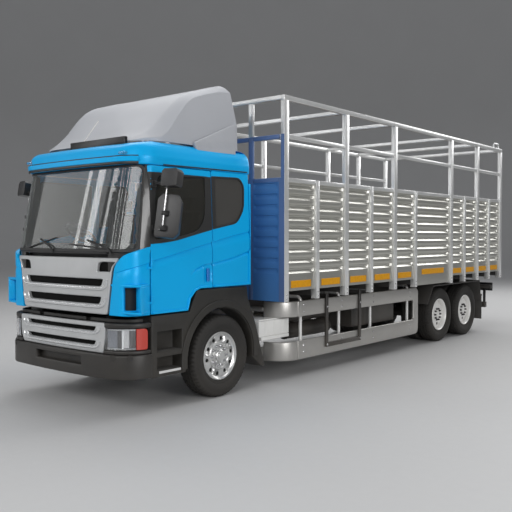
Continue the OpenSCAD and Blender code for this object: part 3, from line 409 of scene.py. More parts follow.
for side, s in SIDES:
    body, x = "wheel_front_" + side, s * FRONT_X
    b = bmesh.new()
    tyre_in(b, x, AXLE)
    made("front_tyre_" + side, b, rubber, body, ("tyre_front_" + side,), 50)
    b = bmesh.new()
    turned_in(b, x, AXLE, s, RIM)
    pierced_disc_in(b, x, AXLE, 0.176, 0.270, 10, 0.226, 0.026, lambda r: 0.093 - 0.04 * max(r - 0.20, 0), 0.012, s)
    turned_in(b, x, AXLE, s, FRONT_HUB)
    turned_in(b, x, AXLE, s, FRONT_CAP, 40)
    made("front_rim_" + side, b, alloy, body, ("rim_front_" + side,), 30)
    # A near-black ring just behind the disc: painted shade, seen through the hand holes where the wheel's inside lies
    # in shadow.
    b = bmesh.new()
    turned_in(b, x, AXLE, s, [(0.182, 0.066), (0.260, 0.066), (0.260, 0.058), (0.182, 0.058)])
    made("front_rim_painted_shade_" + side, b, hub_dark_and_painted_shade, body)
    bolts("front_wheel_nuts_" + side, nut_ring(FRONT_X + 0.091, AXLE, 0.124, s), nut_steel, body,
          0.0155, 0.030)
    for axle, y in (("mid", AXLE + 6.350), ("rear", AXLE + 7.550)):
        body, pair = "wheels_%s_%s" % (axle, side), (DUAL_X, DUAL_X - DUAL_GAP)
        face, middle = s * DUAL_X, s * (DUAL_X - DUAL_GAP / 2)
        b = bmesh.new()
        for x in pair:
            tyre_in(b, s * x, y)
        made("%s_tyres_%s" % (axle, side), b, rubber, body, ("tyres_%s_%s" % (axle, side),), 50)
        b = bmesh.new()
        for x in pair:
            turned_in(b, s * x, y, s, RIM[:12] + [(0.268, 0.06), (0.262, -0.06)])
        turned_in(b, middle, y, s, DISH)
        pierced_disc_in(b, middle, y, 0.118, 0.206, 10, 0.178, 0.023, lambda r: 0.014, 0.012, s)
        turned_in(b, s * pair[1], y, -s, DISH)
        turned_in(b, face, y, s, REAR_FACE)
        pierced_disc_in(b, face, y, 0.03, 0.2065, 1, 0.180, 0.034, lambda r: 0.070 - 0.017 * r, 0.012, s, 0.75)
        turned_in(b, face, y, s, REAR_CAP, 48)
        made("%s_rims_%s" % (axle, side), b, rim_paint, body, ("rims_%s_%s" % (axle, side),), 30)
        b = bmesh.new()
        turned_in(b, middle, y, s, REAR_HUB)
        # Near-black rings behind the outer and the inner disc: painted shade, seen through the hand holes.
        turned_in(b, face, y, s, [(0.112, 0.048), (0.204, 0.048), (0.204, 0.040), (0.112, 0.040)])
        turned_in(b, middle, y, -s, [(0.119, 0.004), (0.204, 0.004), (0.204, 0.010), (0.119, 0.010)])
        made("%s_hub_%s" % (axle, side), b, hub_dark_and_painted_shade, body, (), 30)
        bolts("%s_wheel_nuts_%s" % (axle, side), nut_ring(1.1365, y, 0.110, s), hub_dark_and_painted_shade, body, 0.0165, 0.034)

# ---------------------------------------------------------------------------------------------------
# Tanks and battery: an eight-sided aluminium fuel tank on the right, two painted air tanks and a tool box on
# the left, and a white battery cover on a shelf behind the front wheel. Straps hold the tanks.
tank_metal = finish("brushed_tank", (0.58, 0.59, 0.60), 0.32, metal=0.95, vary=0.06, grain=110, bump=0.03, dust=0.2,
                    stretch=(1, 0.08, 1))
battery_white = finish("battery_white", (0.92, 0.92, 0.90), 0.45, vary=0.06, grain=180, bump=0.05, dust=0.4)
broken_edges("fuel_tank", tank_metal, 0.012, steps=3)
broken_edges("battery_box", battery_white, 0.012, steps=3)
broken_edges("air_tanks", chassis_black, 0.010, steps=3)
b = bmesh.new()
for y in (2.9, 3.9):
    for x0, z0, x1, z1 in ((-1.087, 0.55, -1.081, 0.85), (-1.02, 0.931, -0.55, 0.937), (-1.02, 0.463, -0.55, 0.469)):
        box_in(b, (x0, y - 0.03, z0), (x1, y + 0.03, z1), 0.002, 1)
made("tank_straps", b, chassis_black, "chassis")
b = bmesh.new()
box_in(b, (0.505, 0.945, 0.861), (1.045, 1.605, 0.882), 0.006)
for y in (1.08, 1.28, 1.48):
    box_in(b, (1.0605, y - 0.02, 0.66), (1.066, y + 0.02, 0.85), 0.002, 1)
made("battery_lid", b, battery_white, "chassis")

# ---------------------------------------------------------------------------------------------------
# Side guards: two deep bands of rolled sheet that curl in at the front and close in a loop at the back, on
# bent bright tubes from the frame, with a black boarding frame bolted on.
guard_metal = finish("guard_metal", (0.50, 0.49, 0.47), 0.36, metal=0.72, vary=0.06, grain=130, bump=0.03, dust=0.25,
                     stretch=(1, 0.15, 1))
bright_tube = finish("bright_tube", (0.78, 0.78, 0.77), 0.25, metal=0.35, vary=0.05, grain=60, bump=0.02, dust=0.2)
broken_edges("side_guards", guard_metal, 0.016, steps=3)
broken_edges("step_frames", chassis_black, 0.008)


def tubes(name, runs, r, look, body, bend=0.06, stands_for=()):
    """Round tube along each run of points, with its corners bent to an arc and its ends closed."""
    seed = bpy.data.meshes.new(name + "_runs")
    pts, edges = [], []
    for run in runs:
        edges += [(len(pts) + k, len(pts) + k + 1) for k in range(len(run) - 1)]
        pts += run
    seed.from_pydata(pts, edges, [])

    def wire(add, link, given):
        line, arc, ring, skin = add("MeshToCurve"), add("FilletCurve"), add("CurvePrimitiveCircle"), add("CurveToMesh")
        arc.mode = "POLY"
        fill(arc, Count=7, Limit_Radius=True)
        fill(ring, Resolution=16)
        fill(skin, Fill_Caps=True)
        link(given["Seed"], line.inputs["Mesh"])
        link(line.outputs[0], arc.inputs["Curve"])
        link(given["Bend"], arc.inputs["Radius"])
        link(given["Radius"], ring.inputs["Radius"])
        link(arc.outputs[0], skin.inputs["Curve"])
        link(ring.outputs[0], skin.inputs["Profile Curve"])
        return skin.outputs[0]

    b = bmesh.new()
    b.from_mesh(grown(name, seed, look, {"Radius": r, "Bend": bend}, wire))
    made(name, b, look, body, stands_for, 45)


STAYS = (1.764, 2.786, 3.745, 5.050)
tubes("guard_stays", [[(s * x, AXLE + y, z) for x, z in ((1.1597, 0.33), (1.1597, 1.1603), (0.4303, 1.1603))]
                      for s in (-1, 1) for y in STAYS],
      0.025, bright_tube, "chassis", 0.062, ("guard_tubes",))
bolts("guard_bolts", [((s * x, AXLE + y, z), (s, 0, 0)) for x, along, heights in (
    (1.2252, STAYS, (0.36, 0.45, 0.95, 1.05)), (1.2602, (2.33, 3.28), (0.40, 0.98)))
    for s in (-1, 1) for y in along for z in heights], nut_steel, "chassis", 0.012, 0.008)

# ---------------------------------------------------------------------------------------------------
# Front bumper: a moulded black shell with a tow recess, bolted to the frame ends. It is thick plastic
# with well rounded edges, and a rubber chin runs along its foot.
bumper_plastic = finish("bumper_plastic", (0.013, 0.013, 0.013), 0.42, vary=0.1, grain=320, bump=0.10, dust=0.25)
broken_edges("front_bumper", bumper_plastic, 0.016, steps=3)
ROUND, BULGE = 0.35, 0.035
CAB_FACE, BUMPER_FACE = (1.56, 1.20, ROUND), (1.60, 1.21, ROUND)
BELT, RAKE, CAB_HALF = 1.86, math.radians(11), 1.2


def girth(u, face):
    """Place and outward way on a bowed front with round corners, a distance u round from its middle."""
    front, half, r = face
    s, u, k, x0 = (1 if u >= 0 else -1), abs(u), BULGE / (half - ROUND) ** 2, half - r
    if u <= x0:
        way = Vector((2 * k * u, -1)).normalized()
        return s * u, k * u * u - front, s * way.x, way.y
    turn, back = (u - x0) / r, k * x0 * x0 - front + r
    if turn <= math.pi / 2:
        return s * (x0 + r * math.sin(turn)), back - r * math.cos(turn), s * math.sin(turn), -math.cos(turn)
    return s * half, back + u - x0 - r * math.pi / 2, s, 0.0


def half_width(z):
    """Half the width of the cab at a height; its sides lean in above the belt."""
    lean, foot, rise = 0.035, 2.0, 0.87
    return CAB_HALF - lean * min(max((z - foot) / rise, 0), 1)


def on_face(face):
    """Puts a point of a front panel, u round from the middle, v up and d deep, into place."""
    def place(u, v, d):
        x, y, nx, ny = girth(u, face)
        x, y = x - nx * d, y - ny * d
        if v > BELT:
            y += (v - BELT) * math.tan(RAKE)
            x *= half_width(v) / CAB_HALF
        return x, AXLE + y, v
    return place


on_bumper = on_face(BUMPER_FACE)


def set_back(place, by, s=1):
    """The same face on the side of s, set back by a depth."""
    return lambda u, v, d: place(s * u, v, d + by)


def plate(u0, v0, u1, v1):
    """The outline of a rectangle."""
    return [(u0, v0), (u1, v0), (u1, v1), (u0, v1)]


def mirrored(points):
    """The same points on the other side of the middle."""
    return [(-u, v) for u, v in points]


def panel_in(b, outline, place, t, holes=(), depth=None, creases=(), step=0.04, lip=0.005):
    """A pressed panel: a skin with a rolled rim round its outline and its holes, relief by depth, and a back."""
    def walk(loop, ccw):
        pts = [Vector(p) for p in loop]
        if (sum(p.x * q.y - q.x * p.y for p, q in zip(pts, pts[1:] + pts[:1])) > 0) != ccw:
            pts.reverse()
        out = []
        for p, q in zip(pts, pts[1:] + pts[:1]):
            n = max(1, round((q - p).length / step))
            out += [p.lerp(q, k / n) for k in range(n)]
        return out

    def drawn_in(loop):
        out = []
        for k, c in enumerate(loop):
            d1, d2 = (c - loop[k - 1]).normalized(), (loop[(k + 1) % len(loop)] - c).normalized()
            n1, n2 = Vector((-d1.y, d1.x)), Vector((-d2.y, d2.x))
            m = (n1 + n2).normalized()
            out.append(c + m * lip / max(m.dot(n1), 0.45))
        return out

    loops = [walk(outline, True)] + [walk(h, False) for h in holes]
    pts, edges, rims = [], [], []
    for kind, ring in [(1, r) for r in loops] + [(0, drawn_in(r)) for r in loops]:
        start = len(pts)
        pts += ring
        edges += [(start + j, start + (j + 1) % len(ring)) for j in range(len(ring))]
        if kind:
            rims.append(range(start, len(pts)))

    def nearest():
        tree = kdtree.KDTree(len(pts))
        for k, p in enumerate(pts):
            tree.insert((p.x, p.y, 0), k)
        tree.balance()
        return lambda p: tree.find((p.x, p.y, 0))[2]

    to_rim = nearest()
    sides = [(p, q) for ring in loops for p, q in zip(ring, ring[1:] + ring[:1])]

    def inside(p):
        hit = False
        for a, c in sides:
            if (a.y > p.y) != (c.y > p.y) and p.x < (c.x - a.x) * (p.y - a.y) / (c.y - a.y) + a.x:
                hit = not hit
        return hit

    rim_count = sum(len(r) for r in rims)
    for line in creases:
        line, last = [Vector(p) for p in line], None
        for p, q in zip(line, line[1:]):
            n = max(1, round((q - p).length / (step * 0.6)))
            for j in range(n + 1):
                c = p.lerp(q, j / n)
                if not inside(c) or to_rim(c) < step * 0.45:
                    last = None
                    continue
                pts.append(c)
                if last is not None:
                    edges.append((last, len(pts) - 1))
                last = len(pts) - 1
    to_fixed = nearest()
    low = Vector((min(p.x for p in loops[0]), min(p.y for p in loops[0])))
    high = Vector((max(p.x for p in loops[0]), max(p.y for p in loops[0])))
    for j in range(1, int((high.y - low.y) / step) + 1):
        for k in range(1, int((high.x - low.x) / step) + 1):
            c = Vector((low.x + (k - 0.5 * (j % 2)) * step, low.y + j * step))
            if inside(c) and to_fixed(c) > step * 0.6:
                pts.append(c)
    flat, _, tris, origin, _, _ = delaunay_2d_cdt(pts, edges, [], 0, 1e-7)
    where = {i: k for k, ids in enumerate(origin) for i in ids}
    skin, back = [None] * len(flat), [None] * len(flat)
    for tri in tris:
        if not inside(sum((flat[i] for i in tri), Vector((0, 0))) / 3):
            continue
        for i in tri:
            if skin[i] is None:
                p, rim = flat[i], any(o < rim_count for o in origin[i])
                skin[i] = b.verts.new(place(p.x, p.y, (depth(p.x, p.y) if depth else 0) + (lip if rim else 0)))
                back[i] = b.verts.new(place(p.x, p.y, t))
        b.faces.new([skin[i] for i in tri])
        b.faces.new([back[i] for i in reversed(tri)])
    for ring in rims:
        ids = [where[i] for i in ring]
        for j in range(len(ids)):
            a, c = ids[j], ids[(j + 1) % len(ids)]
            if a != c and skin[a] and skin[c]:
                b.faces.new((skin[a], skin[c], back[c], back[a]))


def panel(name, look, body, slot, outline, place, t, *more, stands_for=(), **fine):
    """One pressed panel that is a piece by itself."""
    b = bmesh.new()
    panel_in(b, outline, place, t, *more, **fine)
    made(name, b, look, body, stands_for)


def rounded(points, r, steps=5):
    """An outline with each corner turned to an arc; r is one radius or one for each corner."""
    out, n = [], len(points)
    for k in range(n):
        a, c, e = Vector(points[k - 1]), Vector(points[k]), Vector(points[(k + 1) % n])
        u, w = (a - c), (e - c)
        rk = min(r[k] if isinstance(r, (list, tuple)) else r, u.length * 0.48, w.length * 0.48)
        p, q = c + u.normalized() * rk, c + w.normalized() * rk
        out += [p * (1 - t) ** 2 + c * 2 * t * (1 - t) + q * t * t for t in (j / steps for j in range(steps + 1))]
    return out


def bar_in(b, path, wide, high, place):
    """A moulding that follows a path on a panel; wide is its height, high how far it stands off."""
    section = [(-0.5, 0), (-0.5, 0.55), (-0.32, 0.92), (0, 1), (0.32, 0.92), (0.5, 0.55), (0.5, 0)]
    rings = []
    for k, p in enumerate(path):
        way = (Vector(path[min(k + 1, len(path) - 1)]) - Vector(path[max(k - 1, 0)])).normalized()
        side = Vector((-way.y, way.x))
        rings.append([b.verts.new(place(*(Vector(p) + side * wide * a), -high * h)) for a, h in section])
    loft_in(b, rings)


CAP = ((0.036, -0.012), (0.036, -0.022), (0.033, -0.0245), (0.026, -0.0245), (0.024, -0.0225))
b = bmesh.new()
box_in(b, (-0.46, -1.535, 0.52), (0.46, -1.525, 0.66), 0.003, 1)
for left, right in ((-1.37, -0.52), (-0.43, 0.43), (0.52, 1.37)):
    panel_in(b, plate(left, 1.062, right, 1.100), set_back(on_bumper, 0.075), 0.02, step=0.05, lip=0.004)
for s in (-1, 1):
    for u in (0.975, 1.165):
        loft_in(b, [[b.verts.new(on_bumper(s * (u + r * math.cos(t)), 0.672 + r * math.sin(t), d)) for t in around(24)]
                    for r, d in CAP])
made("bumper_caps_and_seals", b, bumper_plastic, "chassis")

# Lower grille: a silver-painted moulding between the headlamps with two long mouths, each with a bright
# rolled lip along its foot and dark mesh behind.
grille_silver = finish("grille_silver", (0.56, 0.57, 0.575), 0.33, metal=0.45, coat=0.15, vary=0.05, grain=420,
                       bump=0.02)
# Black for the meshes behind the grille mouths, and for sheets in the lid's recesses that are painted shade.
grille_black_and_painted_shade = finish("grille_mesh_black_and_painted_shade", (0.003, 0.003, 0.003), 0.7, vary=0.3, grain=70, bump=0.25)
tune(grille_black_and_painted_shade, Specular_IOR_Level=0.12)
lip_silver = finish("grille_lip_silver", (0.74, 0.75, 0.76), 0.22, metal=0.75, coat=0.2, vary=0.04, grain=300,
                    bump=0.01)
MOUTHS = (0.792, 0.955)
mouths = [rounded([(-0.66, z), (0.66, z), (0.69, z + 0.052), (-0.69, z + 0.052)], [0.03, 0.03, 0.01, 0.01])
          for z in MOUTHS]
grille_edge = rounded([(-0.800, 0.706), (0.800, 0.706), (0.845, 0.90), (0.845, 1.056), (-0.845, 1.056),
                       (-0.845, 0.90)], 0.02)
panel("lower_grille_panel", grille_silver, "chassis", "grille_silver", grille_edge, on_bumper, 0.044, mouths,
      lambda u, v: 0.018 * max(0, 0.76 - v) / 0.06, step=0.045, lip=0.008, stands_for=("lower_grille",))


def lip_in(b, ends, foot, wide, high, place):
    """A rolled lip along the foot of a mouth, turning up at both ends."""
    bar_in(b, ends + [(x / 10, foot) for x in range(-6, 7)] + mirrored(reversed(ends)), wide, high, place)


b = bmesh.new()
for z in MOUTHS:
    lip_in(b, [(-0.758, z + 0.050), (-0.752, z + 0.026), (-0.732, z + 0.002), (-0.70, z - 0.014), (-0.66, z - 0.020)],
           z - 0.021, 0.036, 0.018, on_bumper)
made("lower_grille_lips", b, lip_silver, "chassis")
b = bmesh.new()
for z in MOUTHS:
    panel_in(b, plate(-0.72, z - 0.014, 0.72, z + 0.064), set_back(on_bumper, 0.046), 0.006, step=0.06, lip=0.002)
made("lower_grille_mesh", b, grille_black_and_painted_shade, "chassis")

# Headlamps: clear covers that wrap the bumper's corners, with domed inserts behind, one chromed, and a red end.
# Each is a one-piece moulded unit screwed in from the back.
def see_through(name, colour, rough, weight, bend=1.45):
    """A finish that lets light through; bend is its index."""
    look = finish(name, colour, rough, vary=0.03, grain=6.0, bump=0.004)
    tune(look, Transmission_Weight=weight, IOR=bend)
    return look


lens_clear = see_through("lamp_cover", (0.96, 0.97, 0.98), 0.03, 0.96)
lamp_satin = finish("lamp_satin", (0.30, 0.32, 0.37), 0.35, metal=0.35, vary=0.05, grain=90, bump=0.02)
lamp_grey = finish("lamp_grey", (0.10, 0.10, 0.105), 0.3, metal=0.4, vary=0.08, grain=90, bump=0.02)
lens_red = see_through("lamp_red", (0.62, 0.075, 0.055), 0.14, 0.20)
chrome = finish("chrome_bowl", (0.80, 0.80, 0.81), 0.10, metal=1.0, vary=0.03, grain=30, bump=0.01)
# Black for lamp housings and trays, and for bars along the roof brow that are painted shade.
lamp_black_and_painted_shade = finish("lamp_black_and_painted_shade", (0.012, 0.012, 0.013), 0.30, vary=0.15, grain=200, bump=0.03)
for side, s in SIDES:
    panel("headlamp_cover_" + side, lens_clear, "chassis", "lamp",
          rounded(plate(0.853, 0.757, 1.235, 0.996), [0.02, 0.01, 0.01, 0.05]), set_back(on_bumper, 0, s), 0.014,
          step=0.035, lip=0.006, stands_for=("headlamps",) if s > 0 else ())
    panel("corner_lamp_" + side, lens_red, "chassis", "red_lamp",
          rounded(plate(1.241, 0.757, 1.386, 0.996), [0.01, 0.03, 0.05, 0.01]), set_back(on_bumper, 0, s), 0.020,
          step=0.035, lip=0.006)
    panel("headlamp_tray_" + side, lamp_black_and_painted_shade, "chassis", "dark_plastic", plate(0.852, 0.754, 1.384, 0.998),
          set_back(on_bumper, 0.072, s), 0.006, step=0.05, lip=0.002)
    for name, look, u0, u1 in (("main", lamp_satin, 0.862, 1.010), ("divider", lamp_grey, 1.012, 1.066),
                               ("turn", chrome, 1.068, 1.158), ("end", lamp_grey, 1.160, 1.232)):
        m, h = (u0 + u1) / 2, (u1 - u0) / 2
        panel("headlamp_%s_%s" % (name, side), look, "chassis", "lamp", rounded(plate(u0, 0.768, u1, 0.986), 0.012, 3),
              set_back(on_bumper, 0.030, s), 0.030, (), lambda u, v: 0.018 * max(0, 1 - ((u - m) / h) ** 2), (),
              0.016, 0.003)
    b = bmesh.new()
    for z in (0.772, 0.984):
        bar_in(b, [(0.868 + 0.0363 * k, z) for k in range(11)], 0.014, 0.006, set_back(on_bumper, 0.029, s))
    made("headlamp_trim_" + side, b, chrome, "chassis")

# ---------------------------------------------------------------------------------------------------
# Front mudguards with their steps: black polypropylene mouldings over the wheel that also carry two
# entry steps. Ribbed rubber treads and a pale strip sit in the step wells.
guard_plastic = finish("mudguard_plastic", (0.011, 0.011, 0.010), 0.5, vary=0.1, grain=300, bump=0.12, dust=0.3)
broken_edges("front_mudguards", guard_plastic, 0.012)
tread_rubber = finish("tread_rubber", (0.03, 0.03, 0.03), 0.6, vary=0.1, grain=160, bump=0.1, dust=0.3)
b = bmesh.new()
for s in (-1, 1):
    for z in (0.4805, 0.7005):
        for k in range(9):
            x = 1.052 + k * 0.0165
            box_in(b, (x, -1.085, z), (x + 0.010, -0.715, z + 0.008), 0.002, 1, s)
made("step_treads", b, tread_rubber, "chassis")
b = bmesh.new()
for s in (-1, 1):
    box_in(b, (1.2105, -1.075, 0.450), (1.216, -0.725, 0.479), 0.002, 1, s)
made("step_lips", b, bright_tube, "chassis")
b = bmesh.new()
arc = [math.radians(-7 + 194 * k / 40) for k in range(41)]
flare = [(-r * math.cos(a), TYRE_R + r * math.sin(a)) for r, run in ((0.715, arc), (0.626, arc[::-1])) for a in run]
for s in (-1, 1):
    panel_in(b, flare, lambda u, v, d: (s * (1.232 - d), AXLE + u, v), 0.0215, (),
             lambda u, v: 0.10 * max(0, math.hypot(u, v - TYRE_R) - 0.64), (), 0.03, 0.006)
made("arch_flares", b, guard_plastic, "chassis")

# ---------------------------------------------------------------------------------------------------
# Cab inside: a steel floor and a black bulkhead behind the grille, a moulded dashboard with the steering wheel,
# and two sprung seats in dark cloth. The panels are folded or moulded with soft edges.
trim_black = finish("cab_trim_black", (0.022, 0.022, 0.023), 0.55, vary=0.12, grain=260, bump=0.10)
cab_blue = finish("cab_blue", (0.0, 0.41, 0.84), 0.36, metal=0.10, coat=0.05, vary=0.03, mottle=0.8,
                  grain=600, bump=0.008)
pull_blue = finish("pull_blue", (0.0, 0.15, 0.50), 0.36, vary=0.05, grain=500, bump=0.02)
tune(cab_blue, Specular_IOR_Level=0.25)
dash_grey = finish("dash_grey", (0.055, 0.055, 0.057), 0.6, vary=0.1, grain=320, bump=0.12)
for node, look, r in (("cab_floor", trim_black, 0.006), ("cab_front", trim_black, 0.006),
                      ("dashboard", dash_grey, 0.012)):
    broken_edges(node, look, r)
broken_edges("cab_back_wall", cab_blue, 0.018, steps=4)
lining_grey = finish("cab_lining", (0.80, 0.80, 0.77), 0.8, vary=0.06, mottle=6, grain=400, bump=0.15)
b = bmesh.new()
box_in(b, (-1.085, 0.583, 1.47), (1.085, 0.5945, 2.845))
made("cab_lining", b, lining_grey, "cab")
pillar_trim = finish("pillar_trim", (0.030, 0.028, 0.024), 0.6, vary=0.1, mottle=6, grain=320, bump=0.1)
b = bmesh.new()
foot, head, back = 1.93, 2.84, -1.105
for s in (-1, 1):
    rings = []
    for k in range(7):
        z, x = foot + (head - foot) * k / 6, 1.128 - 0.030 * k / 6
        front = min(-1.330 + 0.194 * (z - foot), back - 0.06)
        rings.append([b.verts.new((s * px, AXLE + py, z)) for px, py in (
            (x, back), (x, front), (x - 0.018, front), (x - 0.018, back))])
    loft_in(b, rings)
made("pillar_linings", b, pillar_trim, "cab")
seat_cloth = finish("seat_cloth", (0.045, 0.047, 0.055), 0.85, vary=0.2, mottle=14, grain=520, bump=0.35)
base_black = finish("seat_base", (0.02, 0.02, 0.02), 0.6, vary=0.15, grain=200, bump=0.08)


def pad(name, low, high, lean, crown, stands_for=()):
    """A stuffed pad: its faces crown, and its sides pull in between the corners."""
    b = bmesh.new()
    low, high = Vector(low), Vector(high)
    mid, half = (low + high) / 2, (high - low) / 2
    bmesh.ops.create_cube(b, size=2.0)
    bmesh.ops.subdivide_edges(b, edges=b.edges, cuts=13, use_grid_fill=True)
    long, flat = (1, 2) if half.y > half.z else (2, 1)
    for v in b.verts:
        p = v.co
        q = p.lerp(p.normalized() * max(abs(c) for c in p), 0.16)
        q[flat] *= 1 + crown * max((1 - q.x ** 2) * (1 - q[long] ** 2), 0)
        q.x *= 1 - 0.03 * (1 - q[long] ** 2)
        v.co = Vector((q.x * half.x, q.y * half.y, q.z * half.z))
        v.co.y += lean * (v.co.z + half.z)
        v.co += mid
    piece = made(name, b, seat_cloth, "cab", stands_for, 60)


for side, x in (("left", 0.62), ("right", -0.62)):
    pad("seat_cushion_" + side, (x - 0.25, AXLE - 0.65, 1.785), (x + 0.25, AXLE - 0.12, 1.895), 0, 0.12,
        ("seats",) if x > 0 else ())
    pad("seat_back_" + side, (x - 0.24, AXLE - 0.215, 1.915), (x + 0.24, AXLE - 0.095, 2.36), 0.17, 0.12)
    pad("head_rest_" + side, (x - 0.14, AXLE - 0.118, 2.39), (x + 0.14, AXLE - 0.028, 2.55), 0.17, 0.15)
    b = bmesh.new()
    box_in(b, (x - 0.22, -0.61, 1.4605), (x + 0.22, -0.13, 1.783), 0.02, 3)
    made("seat_base_" + side, b, base_black, "cab")

# ---------------------------------------------------------------------------------------------------
# Cab shell sides: pressed steel, welded, sprayed blue over primer. A shoulder line rises towards the back and
# runs on from the door into the side panel, and black rubber seals the glass.
# The door pane is near-black glass: painted shade, standing for the dim cab inside seen through clear glass.
door_glass_painted_shade = see_through("door_glass", (0.10, 0.097, 0.085), 0.03, 0.75, 1.25)
quarter_panel = finish("quarter_panel", (0.058, 0.056, 0.052), 0.22, vary=0.06, grain=90, bump=0.006)
screen_glass = see_through("screen_glass", (0.84, 0.87, 0.855), 0.02, 0.96)
seal_rubber = finish("seal_rubber", (0.015, 0.015, 0.015), 0.5, vary=0.1, grain=300, bump=0.05)
SHOULDER = [(-1.30, 1.735), (-1.193, 1.757), (-0.841, 1.827), (-0.129, 1.980), (0.240, 2.057), (0.70, 2.136)]
SHOULDER_FOOT = [(-1.30, 1.652), (-1.193, 1.674), (-0.842, 1.741), (-0.130, 1.889), (0.358, 1.978), (0.70, 2.07)]
PULL_WELL = (-0.31, -0.155, 1.46, 1.68)
LOW_LINE = [(-0.539, 1.571), (-0.455, 1.641), (-0.306, 1.689), (-0.130, 1.706), (0.237, 1.767), (0.70, 1.880)]


def height_on(line, u):
    """The height of a line of points at u, level beyond its ends."""
    for (a, za), (c, zc) in zip(line, line[1:]):
        if a <= u <= c:
            return za + (zc - za) * (u - a) / (c - a)
    return line[0][1] if u < line[0][0] else line[-1][1]


def shoulder_depth(u, v):
    """How deep a cab side is pressed in: under the shoulder, along the low line and behind the pull."""
    top, foot = height_on(SHOULDER, u), height_on(SHOULDER_FOOT, u)
    step, edge, groove, start = 0.022, 0.008, 0.018, -0.545
    u0, u1, v0, v1 = PULL_WELL
    d = 0.0
    if foot < v < top:
        d = step * min((v - foot) / (top - foot) * 1.08, 1) if v < top - edge else step * (top - v) / edge
    if u > start:
        fade = min((u - start) / 0.10, 1)
        d += groove * fade * max(0, 1 - abs(v - height_on(LOW_LINE, u) + 0.012) / 0.024)
    if u0 < u < u1 and v0 < v < v1:
        d += step * min(1, (u - u0) / 0.02, (u1 - u) / 0.02, (v - v0) / 0.03, (v1 - v) / 0.03)
    return d


def side_skin(s, extra=0.0):
    """A cab side: upright to the belt, leaning in above it, and turning in at the front with the raked screen."""
    def place(u, v, d):
        x = half_width(v)
        if v > BELT:
            far = ROUND + BULGE - (u + CAB_FACE[0] - (v - BELT) * math.tan(RAKE)) * math.cos(RAKE)
            if far > 0:
                x = min(x, CAB_HALF - ROUND + math.sqrt(max(ROUND ** 2 - far * far, 0)))
        return s * (x - d - extra), AXLE + u, v
    return place


CREASES = [[(u, z + dz) for u, z in line] for line, dz in (
    (SHOULDER, 0), (SHOULDER, -0.009), (SHOULDER_FOOT, 0), (LOW_LINE, 0.012), (LOW_LINE, -0.012), (LOW_LINE, -0.036))]
DOOR = rounded([(-1.181, 1.146), (-0.590, 1.146), (-0.548, 1.290), (-0.462, 1.372), (-0.380, 1.402), (-0.153, 1.402),
                (-0.153, 2.862), (-1.178, 2.862)], [0.015, 0.02, 0.06, 0.05, 0.05, 0.02, 0.03, 0.03], 4)
DOOR_WINDOW = rounded([(-1.136, 1.990), (-0.790, 2.012), (-0.345, 2.108), (-0.204, 2.150), (-0.204, 2.786),
                       (-1.066, 2.786), (-1.106, 2.736)], [0.05, 0.10, 0.12, 0.06, 0.04, 0.05, 0.04], 6)
DOOR_FRAME = rounded([(-1.180, 1.955), (-1.00, 1.966), (-0.79, 1.990), (-0.345, 2.086), (-0.154, 2.126),
                      (-0.154, 2.786), (-1.178, 2.786)], [0.01, 0.08, 0.10, 0.10, 0.01, 0.01, 0.01])
DOOR_PANE = rounded([(-1.118, 2.004), (-0.780, 2.028), (-0.400, 2.112), (-0.285, 2.260), (-0.262, 2.462),
                     (-0.262, 2.772), (-1.040, 2.752), (-1.085, 2.60)],
                    [0.03, 0.10, 0.13, 0.14, 0.12, 0.03, 0.05, 0.2], 6)
DOOR_HEM = [(-1.165, 1.161), (-0.602, 1.161), (-0.566, 1.280), (-0.558, 1.302), (-0.480, 1.379), (-0.464, 1.390),
            (-0.384, 1.418), (-0.170, 1.418)]
SIDE = rounded(plate(-0.143, 1.402, 0.572, 2.868), [0.03, 0.02, 0.02, 0.03], 4)
SIDE_HEM = [(-0.125, 1.418), (0.540, 1.418), (0.554, 1.424), (0.557, 1.436), (0.557, 1.860)]
QUARTER = rounded([(-0.088, 2.156), (0.324, 2.226), (0.458, 2.402), (0.475, 2.709), (0.392, 2.801), (-0.088, 2.787)],
                  [0.05, 0.08, 0.09, 0.08, 0.06, 0.04], 6)
QUARTER_FRAME = rounded([(-0.1425, 2.130), (0.324, 2.212), (0.470, 2.396), (0.488, 2.712), (0.400, 2.814),
                         (-0.1425, 2.800)], [0.01, 0.08, 0.09, 0.08, 0.07, 0.01], 6)
centre = Vector((0.19, 2.50))
QUARTER_SIGHT = [p - (p - centre).normalized() * 0.010 for p in QUARTER]
HINGES, HINGE_X, HINGE_Y = (1.30, 1.70), 1.212, -1.186


def pin_in(b, place, r, depth, segments, turn=Matrix.Identity(4)):
    """An upright pin, or one turned to another way."""
    bmesh.ops.create_cone(b, cap_ends=True, segments=segments, radius1=r, radius2=r, depth=depth,
                          matrix=Matrix.Translation(place) @ turn)


